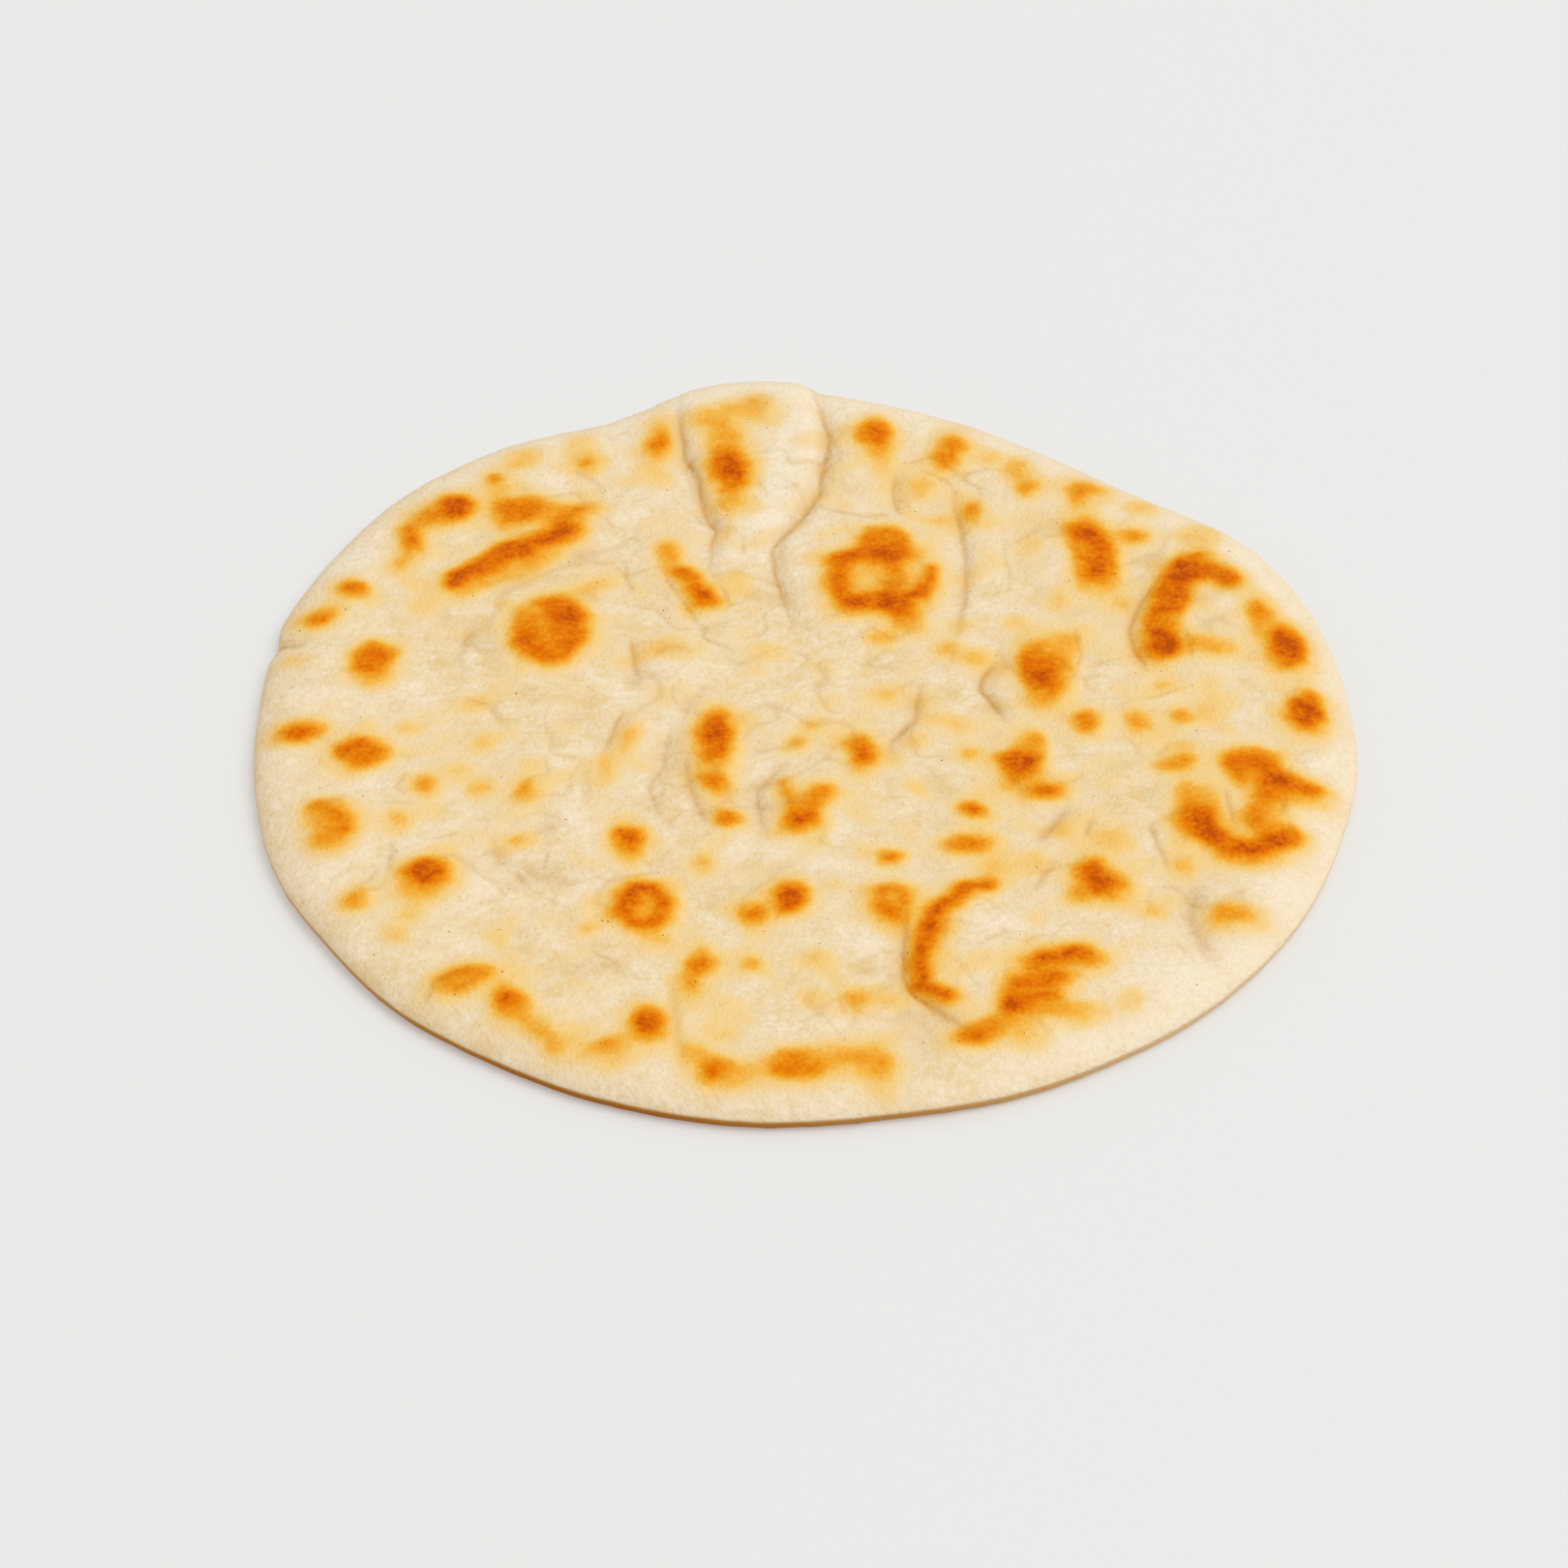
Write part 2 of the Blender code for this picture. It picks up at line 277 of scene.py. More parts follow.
def foot_on_run(x, y, start, end):
    """The place on a straight run that is nearest to each point, and its share of the run."""
    (ax, ay), (bx, by) = start, end
    run_x, run_y = bx - ax, by - ay
    share = ((x - ax) * run_x + (y - ay) * run_y) / (run_x ** 2 + run_y ** 2)
    share = np.clip(share, 0.0, 1.0)
    return ax + share * run_x, ay + share * run_y, share


def distance_to_path(x, y, path):
    """Distance from points to a path of straight runs, and how far along it, 0 to 1, they lie."""
    nearest, along = np.full_like(x, np.inf), np.zeros_like(x)
    runs = len(path) - 1
    for number, (start, end) in enumerate(zip(path, path[1:])):
        foot_x, foot_y, share = foot_on_run(x, y, start, end)
        gap = np.hypot(foot_x - x, foot_y - y)
        closer = gap < nearest
        nearest = np.where(closer, gap, nearest)
        along = np.where(closer, (number + share) / runs, along)
    return nearest, along


def inside(x, y, outline):
    """True where a point lies inside a closed outline."""
    odd = np.zeros(x.shape, bool)
    for (ax, ay), (bx, by) in zip(outline, outline[1:] + outline[:1]):
        if ay != by:
            odd ^= ((ay > y) != (by > y)) & (x < ax + (y - ay) * (bx - ax) / (by - ay))
    return odd


def shield_height(x, y):
    """Height of the back blister: a flank rises from its border to a level crown."""
    rise = np.minimum(1.0, distance_to_path(x, y, SHIELD)[0] / SHIELD_FLANK)
    return np.where(inside(x, y, SHIELD), SHIELD_HEIGHT * np.sqrt(rise * (2.0 - rise)), 0.0)


SHIELD_MIDDLE = np.array([[-9.0], [70.0]])     # x and y
print("back blister, mm high:", shield_height(*SHIELD_MIDDLE)[0])

# %% [markdown]
# ## Creases
# Between the blisters the skin is pressed into creases. The broad ones are the solid's own. The
# fine ones are too thin for the solid's facets, and are pressed into the dense skin alone. Each
# is a path that is easy to move by hand. A real crease is never straight, so the path of a fine
# one gets a bend every step, and chance moves the bends a little.

# %% Creases
# A path through x, y points, then depth and half width
CREASES = (
    (((-21, 82), (-19, 68), (-17, 57), (-14, 48), (-15, 38)), 0.5, 1.6),
    (((3, 88), (4.5, 73), (2.5, 58), (-4, 45), (-4, 34), (-1, 22)), 0.5, 1.6),
    (((25, 58), (26, 44), (26, 33), (24, 21)), 0.35, 1.6),
    (((15.5, 64), (15.5, 52)), 0.3, 1.4),
    (((56, 34), (52, 22), (53, 11)), 0.4, 1.6),
    (((31, 13), (28, 7), (31, -2)), 0.45, 1.6),
    (((18, 7), (16, -3), (13, -11)), 0.35, 1.5),
    (((-28, 1), (-31, -9)), 0.3, 1.5),
    (((-21, -2), (-22, -14), (-24, -24)), 0.3, 1.8),
    (((-19, -9), (-18, -18), (-15, -28)), 0.3, 1.5),
    (((-3, -11), (-8, -19), (-7, -30)), 0.35, 1.5),
    (((-27, 20), (-27, 9)), 0.3, 1.5),
    (((13.5, -50), (13.5, -63), (18, -69), (23, -74)), 0.4, 1.6),
    (((59, -41), (57, -49), (60, -60)), 0.4, 2.2),
    (((40, -23), (35, -31)), 0.3, 2.0),
    (((-84, 22), (-79, 20.5)), 0.35, 1.5),
    (((15, -68), (17, -81)), 0.35, 3.5),
)
FINE_CREASES = (
    # along the back blister
    (((-21, 83), (-19.8, 74), (-19.2, 68), (-17.2, 62), (-16.6, 56), (-15.8, 52), (-14.2, 48.5),
      (-14.8, 44), (-15, 38)), 0.2, 0.4),
    (((2, 90), (3.5, 80), (4.5, 73), (3.8, 66), (2.6, 58), (0.6, 53.5), (-1.5, 49.5), (-4.2, 45),
      (-5.2, 42.5), (-4.8, 39), (-3.8, 34), (-3, 28), (-1.8, 22)), 0.2, 0.4),
    (((-10, 46), (-9.8, 41)), 0.12, 0.4),
    (((-16.6, 50), (-12, 48.5), (-8, 47.5)), 0.08, 0.4),
    # back left
    (((-28.7, 39.5), (-28.4, 36), (-27.4, 32)), 0.18, 0.4),
    (((-27.2, 20), (-26.8, 12), (-25.8, 9)), 0.18, 0.45),
    (((-16.2, 24.5), (-16, 19.5), (-11, 15.8)), 0.16, 0.4),
    (((-22.5, 37), (-21, 32.5), (-18.5, 27.5), (-17, 23)), 0.16, 0.4),
    (((-13, 33), (-12, 28)), 0.16, 0.4),
    (((-53, 23), (-55, 15), (-53, 11)), 0.12, 0.8),
    (((-54, 5), (-50, 3), (-48, 0)), 0.12, 0.45),
    (((-84.5, 22), (-80, 20)), 0.18, 0.45),
    (((-20, 0), (-15, 8)), 0.12, 1),
    # back right
    (((25, 57), (25.3, 50), (26.4, 40), (25.8, 28), (24.5, 20)), 0.16, 0.45),
    (((15.5, 63), (15.2, 56), (15.8, 52)), 0.16, 0.4),
    (((20, 64), (24, 61), (25.5, 57)), 0.12, 0.45),
    (((2, 55), (5, 53), (10, 51.5), (15, 52)), 0.16, 0.45),
    (((33, 45), (32.5, 41), (33, 36), (32.8, 31)), 0.12, 0.45),
    (((11.5, 22), (8.5, 19)), 0.12, 0.4),
    (((57, 34), (54, 28), (52.2, 22), (52, 17), (54, 10)), 0.2, 0.45),
    (((60.6, 20), (61, 13)), 0.16, 0.4),
    (((43, 20), (43.8, 14), (43, 10)), 0.16, 0.45),
    (((30.5, 13), (28, 9), (27.6, 6), (29.5, 2), (31, -2)), 0.24, 0.45),
    (((24, 16), (23.2, 12)), 0.12, 0.4),
    (((18.5, 7), (16.5, -3), (13.5, -7.5), (12.8, -11)), 0.15, 0.45),
    # front left
    (((-28.5, 1), (-31, -9)), 0.16, 0.45),
    (((-21.5, -3), (-22, -13), (-24, -18), (-22, -26)), 0.13, 0.45),
    (((-18.5, -10), (-18, -18), (-15, -27)), 0.14, 0.45),
    (((-3.5, -12), (-8, -19), (-6.5, -29)), 0.14, 0.45),
    (((-34, -12), (-34, -22)), 0.08, 0.9),
    (((-39.5, -33), (-40, -36.5)), 0.16, 0.4),
    (((-42.6, -39.5), (-44, -37)), 0.16, 0.4),
    (((-45, -43), (-46.5, -40.5)), 0.12, 0.4),
    (((-62, -14), (-63.5, -17), (-62, -18.5)), 0.16, 0.4),
    (((-60, -21), (-66, -20.5)), 0.12, 0.4),
    (((-63.5, -30), (-63.5, -37)), 0.16, 0.45),
    (((-57, -29), (-53, -28)), 0.12, 0.4),
    (((-57, -66), (-55.5, -62), (-50, -58.6)), 0.18, 0.4),
    (((-53, -64.5), (-50, -62.5)), 0.16, 0.4),
    (((-20, -62), (-19.5, -70), (-18.8, -80)), 0.12, 0.9),
    # front right
    (((40, -23), (35, -31)), 0.16, 0.8),
    (((43.5, -26), (42.5, -30)), 0.2, 0.45),
    (((37.5, -35), (34, -43)), 0.16, 0.55),
    (((30, -52), (24, -56)), 0.12, 0.45),
    (((52, -27), (54.5, -38)), 0.16, 0.55),
    (((59, -41), (57, -49), (59, -58)), 0.12, 0.8),
    (((15, -48), (13.8, -55), (13.5, -62), (15, -66), (18, -68.5), (23, -74)), 0.2, 0.45),
    (((4, -66), (5, -70)), 0.12, 0.4),
    (((63.8, -20), (64.8, -28)), 0.2, 0.45),
    (((73, -22), (72, -26)), 0.18, 0.4),
    (((33.5, -90), (33.2, -85)), 0.24, 0.55),
)
CREASE_START = 0.3           # share of its depth that it has at its very ends
CREASE_FADE = 0.25           # share of its length in which it would gain its whole depth
CREASE_STEP = 1.5            # millimetres between the bends of a fine crease
# How a crease strays: over how many millimetres, by how much, and the seed
CREASE_WANDER = ((2.5, 0.25, 25), (7.0, 0.4, 27))


def strayed(x, y, wander):
    """The same points moved a little, smoothly, so that drawn shapes get uneven."""
    points = lift(x, y)
    for size, reach, seed in wander:
        x = x + reach * drift(points, size, seed)
        y = y + reach * drift(points, size, seed + 1)
    return x, y


def uneven(path):
    """A path with a bend every step, each moved a little to one side by chance."""
    places = [path[0]]
    for (ax, ay), (bx, by) in zip(path, path[1:]):
        steps = max(1, round(math.hypot(bx - ax, by - ay) / CREASE_STEP))
        places += [(ax + (bx - ax) * k / steps, ay + (by - ay) * k / steps)
                   for k in range(1, steps + 1)]
    x, y = np.array(places, float).T
    return tuple(zip(*strayed(x, y, CREASE_WANDER)))


def crease_press(x, y, creases):
    """Depth pressed in by creases, each fading towards both its ends."""
    depth = np.zeros_like(x)
    for path, deep, half_width in creases:
        gap, along = distance_to_path(x, y, path)
        to_end = np.minimum(along, 1.0 - along)
        fade = np.minimum(1.0, CREASE_START + to_end / CREASE_FADE)
        depth += deep * fade * np.exp(-(gap / half_width) ** 2)
    return depth


UNEVEN_CREASES = [(uneven(path), deep, half_width) for path, deep, half_width in FINE_CREASES]
print("creases:", len(CREASES), "broad and", len(FINE_CREASES), "fine")

# %% [markdown]
# ## Toasted marks
# The tops of the blisters touch the hot stone and toast there, so the marks are soft spots,
# streaks and rings that sit on raised dough. Each is laid where the real bread has it, as an oval
# or as a path with a half width. A strength of 0.3 is straw yellow, 0.6 amber and 1 deep orange
# brown.

# %% Toasted spots
# x, y, half width, half depth, strength, and a turn in degrees where there is one
SPOTS = (
    # back left
    (-57, 55.3, 3.2, 3.5, 0.9), (-61, 53, 1.8, 1.8, 0.5), (-63.7, 47.4, 2, 4.2, 0.78),
    (-65.2, 40.5, 1.3, 2, 0.42), (-49, 50.5, 1.4, 1.8, 0.38), (-46.4, 54.7, 3.7, 3.8, 0.74),
    (-41.8, 55, 2.4, 2.2, 0.38), (-36.4, 54.6, 2.5, 1.7, 0.45), (-37, 49, 1.7, 2.3, 0.5),
    (-55.5, 36.3, 2, 1.2, 0.4, 38), (-47.8, 42.7, 2.6, 1.3, 0.5, 42),
    (-42, 47, 2, 1.2, 0.35, 38), (-72.8, 33.6, 2.7, 2.6, 0.76), (-77.8, 26.8, 2.7, 2.4, 0.56),
    (-77.6, 26.1, 1, 0.8, 0.8), (-68.3, 15, 3.3, 3.9, 0.66), (-67.9, 16.6, 2, 1.7, 0.5),
    (-68, 10.8, 2.8, 2.4, 0.36), (-40.4, 21.6, 6.1, 8.8, 0.86), (-23.8, 72.6, 1.25, 3.7, 0.85),
    (-12.4, 64.6, 3, 5.3, 0.86), (-12.7, 65.2, 1.2, 3.4, 0.5), (-12.3, 54.9, 1.9, 3.5, 0.33),
    (-13.6, 73.5, 3, 4, 0.28), (-9.5, 81.5, 3.4, 2.6, 0.28), (-7.2, 83.7, 1.6, 1.8, 0.3),
    (-16.5, 79, 3, 2.6, 0.3), (-11, 77.5, 5, 4, 0.22), (-21.8, 41.5, 1.5, 2.9, 0.64),
    (-16, 30, 1.4, 1.4, 0.4), (-18, 26.2, 1.4, 1.8, 0.28), (-36.5, 71, 3, 5, 0.25),
    (-35.5, 67, 1, 1, 0.6), (-46.5, 69.5, 3, 3, 0.35), (-50.3, 61, 1.8, 2.8, 0.3),
    (-50.5, 63.7, 0.8, 0.9, 0.75), (-34, 33.5, 3, 2, 0.3, 20), (-81, 15.6, 1.2, 1.4, 0.3),
    (-52.3, 3, 1.5, 1.9, 0.26), (-10, 33.5, 2.3, 2.9, 0.28), (-61, 29, 3, 3, 0.25),
    (-24, 17, 4, 3, 0.2), (-6.5, 15.5, 3, 2, 0.25),
    # back right
    (12, 74.5, 2.9, 3.9, 0.8), (13, 66, 2, 4, 0.35), (24.8, 69.2, 2.2, 4.6, 0.9, -10),
    (19.3, 59.5, 1.5, 2.5, 0.4), (22.3, 50.3, 1.5, 1.2, 0.3), (27.8, 52.7, 1.1, 1.5, 0.7),
    (27.8, 50, 1.1, 1.4, 0.38), (36, 64.8, 1.9, 2.5, 0.42), (36.3, 58, 1.2, 1.6, 0.6),
    (38, 60, 2, 2, 0.4), (44.9, 56.4, 1.3, 2.4, 0.6), (47.5, 58.5, 2.5, 1.8, 0.55, -30),
    (31.3, 67.8, 1.5, 1.5, 0.35), (55.5, 53.5, 2, 2, 0.35), (54.2, 45.6, 1.9, 1.8, 0.66),
    (64, 46, 3, 3, 0.3), (13.4, 43.7, 4.5, 4.4, 0.72), (12.3, 40.2, 4, 1.5, 0.6),
    (11.3, 47.8, 1.6, 1, 0.45), (11.6, 27.6, 3.2, 1.9, 0.6), (15.5, 23.3, 1.6, 1.4, 0.4),
    (19, 30, 1.2, 1.4, 0.6), (10.5, 34, 3, 3, 0.35), (12.5, 18.5, 2, 2, 0.35),
    (17, 20.5, 2, 1.5, 0.3), (26, 13, 2.2, 1.8, 0.4), (25.5, 22, 2, 1.5, 0.3),
    (22.3, 16.2, 1.3, 1.3, 0.35), (12.3, 5.6, 2.5, 1.8, 0.35), (18.5, 2.5, 2, 2, 0.25),
    (46.8, 40.8, 3.5, 8.1, 0.64), (46.1, 45.6, 2.7, 2.2, 0.75, -25),
    (46.5, 35.7, 1.6, 1.3, 0.6), (61.8, 37, 2.2, 2.2, 0.6), (67.8, 32.8, 1, 1, 0.6),
    (57.2, 15.8, 2.6, 2.4, 0.5), (65.6, 15.4, 2.6, 2.4, 0.42), (61.6, 16.3, 2.4, 1.8, 0.42),
    (72.5, 24.3, 1.9, 2.7, 0.66), (72, 20.3, 1.3, 2.6, 0.36), (74, 26.8, 1.6, 1.8, 0.28),
    (76.2, 15.9, 3.1, 4.6, 0.9), (75.8, 10.6, 2.2, 1.3, 0.28), (78.3, -0.6, 3.1, 4.9, 0.9),
    (37.4, 9.8, 3.2, 6.1, 0.82), (37.3, 9.5, 2, 4, 0.6), (40.5, 17, 2.5, 3, 0.3),
    (50.5, 27.3, 1.2, 1.5, 0.42), (41.3, 28.8, 1, 1.6, 0.38), (36, 43, 2, 3, 0.25),
    (34, 22, 2, 2, 0.18), (41.3, 12, 1, 3.3, 0.4), (36.2, 2, 2, 1.3, 0.28),
    (55.8, 5.8, 1.3, 1, 0.4), (63.8, 3.5, 1.4, 4.6, 0.2), (52.9, 16, 1.5, 2.5, 0.25),
    # front left
    (-78.7, -2.7, 3, 2.3, 0.62), (-78.4, -2.9, 1.2, 1, 0.9), (-81.5, -1.5, 1.5, 1.5, 0.25),
    (-68.7, -8.3, 3.8, 3.6, 0.74), (-69.2, -8, 2, 2, 0.45), (-58.9, -16.7, 1.6, 2, 0.65),
    (-50.5, -6.5, 2, 2, 0.25), (-62.3, -1.7, 1.5, 1.5, 0.33), (-68.5, -1, 1, 1.5, 0.25),
    (-56, -4.5, 1.2, 1.2, 0.2), (-50, -17.3, 1.5, 1.9, 0.28), (-53.8, -13.2, 1.6, 1.6, 0.32),
    (-43.4, -18.4, 1.2, 1.6, 0.68), (-43, -12.5, 2, 2, 0.2), (-43.8, -29, 1.5, 1.5, 0.35),
    (-31, -13.4, 1.2, 2, 0.38), (-63.2, -24.2, 1.4, 1.8, 0.4), (-73.2, -25.8, 4, 5, 0.5),
    (-73, -30, 1.5, 1.0, 0.4), (-27.6, -5, 1.6, 2.8, 0.44), (-14.3, -6.2, 2.8, 6, 0.88),
    (-14.5, -16.6, 2.0, 2.2, 0.75), (-9.5, -1.5, 2.5, 2, 0.25), (-12.3, -25.4, 2, 2, 0.75),
    (-27.7, -29.2, 1.9, 2.4, 0.88), (-27.3, -33, 1.6, 2, 0.4), (-57.3, -37.3, 3.6, 3.2, 0.87),
    (-58, -42, 3, 2, 0.35), (-67.7, -43, 2, 2, 0.6), (-61.7, -50.7, 1.6, 1.6, 0.33),
    (-59.6, -46, 1.2, 1.5, 0.25), (-47.5, -51.5, 2, 1.5, 0.2), (-33, -50.5, 1.5, 1.5, 0.35),
    (-22, -53.5, 2, 1.5, 0.3), (-24.8, -45.6, 3.2, 3.8, 0.4), (-26.4, -44, 1.8, 2.3, 0.42),
    (-16.4, -36.5, 1.7, 1.9, 0.45), (-2.8, -44.7, 2.8, 3.6, 0.94), (-8.7, -48, 1.6, 1.7, 0.8),
    (-51.2, -62, 3.5, 2, 0.72, 30), (-44.4, -66.6, 1.9, 2.7, 0.8), (-35, -73.5, 1.8, 2.4, 0.2),
    (-23.9, -72.3, 2.5, 3.2, 0.9), (-30.3, -76.3, 2.3, 1.3, 0.62, 10),
    (-29, -79.5, 2, 1.5, 0.3), (-16.4, -59, 1.6, 2.2, 0.84), (-17.5, -63.9, 1.3, 2.6, 0.46),
    (-9.4, -59.4, 1.6, 1.7, 0.5), (-13, -73.5, 2, 1.5, 0.3), (-14.1, -81.4, 2.3, 1.9, 0.8),
    (-10.5, -83.5, 1.8, 1.5, 0.4), (-17.3, -77.8, 2, 2.2, 0.42), (-2, -81, 3.8, 2.7, 0.57),
    (-0.8, -82.6, 2.6, 0.9, 0.48), (-2.4, -79.6, 1.6, 1.6, 0.35), (-4.8, -82.4, 1, 1, 0.35),
    # front right
    (8.3, -9.8, 1.8, 3.4, 0.83), (8.2, -9.7, 1, 1.7, 0.5), (1.5, -3.2, 1.8, 1.5, 0.4),
    (-1.3, -7.4, 1.5, 1.4, 0.52), (-1.4, -27, 1.9, 1.8, 0.7), (-4, -29.2, 1.5, 1, 0.28),
    (16.5, -7.6, 1.4, 1.4, 0.35), (18.7, -2.5, 1.6, 1.6, 0.25), (23, -3.3, 1.5, 1.3, 0.3),
    (16.8, -18.5, 1.5, 1.5, 0.25), (25.2, -10, 1.4, 1.6, 0.45), (34.7, -7.2, 1.9, 2.3, 0.55),
    (32.9, -13.2, 2.5, 3.3, 0.85), (33.3, -13.8, 1.2, 2, 0.5), (31, -18, 1.8, 1.8, 0.25),
    (36.9, -19.9, 2.4, 1.5, 0.82), (43.7, -3.1, 2, 2.6, 0.76), (52, -2.5, 1.5, 2, 0.65),
    (59, -1, 1.5, 1.5, 0.66), (55.9, -14, 1.7, 1.3, 0.5), (58.4, -13.1, 1.6, 1.9, 0.58),
    (57.5, -8.7, 2.2, 1.3, 0.35), (25.3, -24, 1.9, 1.9, 0.78), (23.9, -32.2, 2.8, 1.8, 0.85),
    (27, -30.5, 1.6, 1.3, 0.3), (12.2, -34.6, 1.6, 1.5, 0.75), (12.2, -45.7, 3, 3.4, 0.84),
    (13, -47.8, 2, 1, 0.5), (12, -43, 1.9, 0.7, 0.35), (42.4, -39.3, 2.5, 2.9, 0.82),
    (44.8, -42.7, 2.5, 2.1, 0.84), (46.8, -41.3, 1.4, 1.5, 0.4), (44, -45.4, 2.4, 1, 0.35),
    (39.5, -29.6, 1.4, 2, 0.28), (40.5, -43.5, 1.5, 1.5, 0.35), (68.2, -14.2, 3.9, 4.5, 0.88),
    (71.5, -18.2, 2.2, 3.3, 0.8), (76, -19.7, 2.6, 1.8, 0.65), (75.5, -22.8, 2.4, 1.2, 0.34),
    (67, -27.3, 1.8, 2.3, 0.42), (58.8, -26.5, 2.5, 3.1, 0.5), (57.6, -21.5, 1.8, 3, 0.38),
    (61.8, -22, 1.6, 2.6, 0.4), (67, -36.5, 4, 1.6, 0.32), (63.2, -48.8, 2.5, 1.8, 0.38),
    (60.8, -50.3, 1.5, 1.4, 0.35), (64.8, -50.5, 1.6, 0.9, 0.3), (63.3, -48.5, 1.2, 0.8, 0.42),
    (51.3, -48, 1.6, 1.5, 0.35), (56.7, -37.3, 2, 2, 0.35), (30.5, -67, 2, 2.4, 0.5),
    (35, -61.3, 2, 1, 0.4), (39.5, -70.6, 3, 2, 0.42), (34, -70.2, 2.2, 1.5, 0.38),
    (24, -75, 2.8, 1.5, 0.7, 10), (32, -75.5, 2.5, 2, 0.3), (6.7, -67.2, 1.9, 2.2, 0.6),
    (0, -67, 2, 2, 0.3), (0, -58, 3, 2.5, 0.2), (12, -67.7, 2, 1.8, 0.3),
    (4.8, -79.5, 3, 2, 0.42), (9.2, -80.4, 2.4, 3, 0.4), (10.8, -83, 1.4, 2.8, 0.4),
    (46.5, -31.7, 3.2, 3.2, 0.33), (27.5, -37, 1.6, 1.3, 0.3), (33, -37, 3.5, 2.5, 0.25),
    (20.5, -59.5, 3, 2.5, 0.2), (46.5, -67, 2, 2, 0.25),
)
print("spots:", len(SPOTS))

# %% [markdown]
# Where a fold or the rim of a blister touched the hot stone, the mark is a streak, a hook or a
# ring. A path draws it in one piece, which a row of ovals can't. A few places inside the marks
# stayed pale, because they lay a little too low to touch, and they are taken out again.

# %% Toasted streaks and pale places
# A path through x, y points, then half width and strength
STREAKS = (
    (((-56.3, 35.3), (-51, 39), (-47, 42.8)), 2.2, 0.84),
    (((-47, 43), (-42.5, 46.3), (-39.8, 48.5)), 1.9, 0.76),
    (((-39.5, 47), (-39, 51), (-38, 54)), 1.4, 0.58),
    (((-54, 32.7), (-46, 38), (-41, 42)), 1.8, 0.4),
    (((-19.4, 36), (-17, 32), (-15.3, 29)), 2.0, 0.75),
    (((10.5, 39.4), (6.3, 38.6), (5.4, 33), (6.8, 28.5), (11.5, 26.8), (15.2, 25.8)), 2.1, 0.82),
    (((14.2, 38), (14.8, 34), (13.5, 30)), 1.6, 0.68),
    (((20.3, 35.7), (20, 33), (18.6, 29.6), (16.5, 28)), 1.3, 0.78),
    (((47, 44.5), (48.8, 42), (48.2, 38.5), (47.3, 36)), 1.4, 0.55),
    (((63, 38), (60, 33), (57.6, 27), (56.3, 22), (56.7, 15.5)), 2.7, 0.88),
    (((63, 37), (66.3, 35.4), (68.3, 33.4)), 2.3, 0.76),
    (((-75, -21.8), (-72, -22.8), (-70.2, -25.2), (-70.4, -27.2)), 1.5, 0.55),
    (((-28, -46.8), (-27.8, -43.6), (-25.6, -41.8), (-22.8, -42.3), (-21.4, -44.8),
      (-21.8, -47.8), (-23.6, -50.3), (-26.6, -49.8), (-28, -46.8)), 1.2, 0.84),
    (((-54, -62), (-51.5, -60.1), (-48.8, -60)), 1.1, 0.66),
    (((-43.5, -67.5), (-40.3, -71.5), (-38, -75.5)), 1.25, 0.52),
    (((-3.4, -16.9), (-2.6, -21), (-1.8, -26)), 1.0, 0.64),
    (((2, -19.3), (0.9, -22.5), (-0.2, -25.5)), 1.4, 0.68),
    (((26.3, -41.2), (24.6, -41.9), (23.2, -43.2), (21.9, -45.2), (20.5, -47.4), (19, -49.8),
      (17.8, -52.5)), 1.5, 0.88),
    (((17.8, -52.5), (16.9, -56), (16.5, -60), (16.1, -63.5), (20, -66.7)), 1.6, 0.86),
    (((74, -17.8), (77, -19.5)), 1.6, 0.5),
    (((70.8, -20), (69.7, -24), (69.2, -28)), 1.8, 0.62),
    (((59.6, -26.6), (60.6, -30.3), (63.3, -33.2), (67, -34), (70, -32.5), (72.8, -31)), 2.0, 0.88),
    (((33.6, -59.6), (36, -58.4), (39.8, -57.6)), 1.9, 0.84),
    (((39.8, -57.6), (42.8, -58.7)), 1.3, 0.65),
    (((31, -64.4), (34, -64.1), (37, -62.8)), 1.7, 0.87),
    (((29.8, -68.8), (32, -68.2), (34.8, -67)), 1.7, 0.84),
    (((24, -74.5), (28, -72), (31, -68)), 1.6, 0.6),
)
# x, y, half width, half depth, share of the toasting taken out, and a turn where there is one
PALE_PLACES = (
    (32.4, -66.2, 1.6, 0.3, 0.22, 15), (38, -61, 1.4, 0.3, 0.22, 10),
    (68.3, -17, 0.6, 1.4, 0.3), (-44, 27, 1, 1.9, 0.28), (-41.9, 23.2, 0.3, 1.8, 0.32, 20),
    (10.4, 34, 1.5, 2, 0.25), (24.5, 70, 0.8, 2, 0.3), (38.8, 14.5, 0.8, 1.5, 0.3),
    (57.5, 22.5, 1.5, 1.4, 0.2), (65, 38.3, 1, 0.8, 0.3), (12.2, -45.2, 1.2, 0.9, 0.32),
    (17.1, -46.3, 0.2, 2, 0.35, -25), (-51.3, -62, 1.8, 0.9, 0.25, 30),
)
print("streaks:", len(STREAKS), " pale places:", len(PALE_PLACES))

# %% [markdown]
# A mark has a profile. It is darkest where the dough pressed hardest, a little lighter at its
# border, and round it lies a faint yellow halo. Real borders are ragged, so chance moves every
# point a little before it is measured against them. Marks that overlap add up, as toasting does.

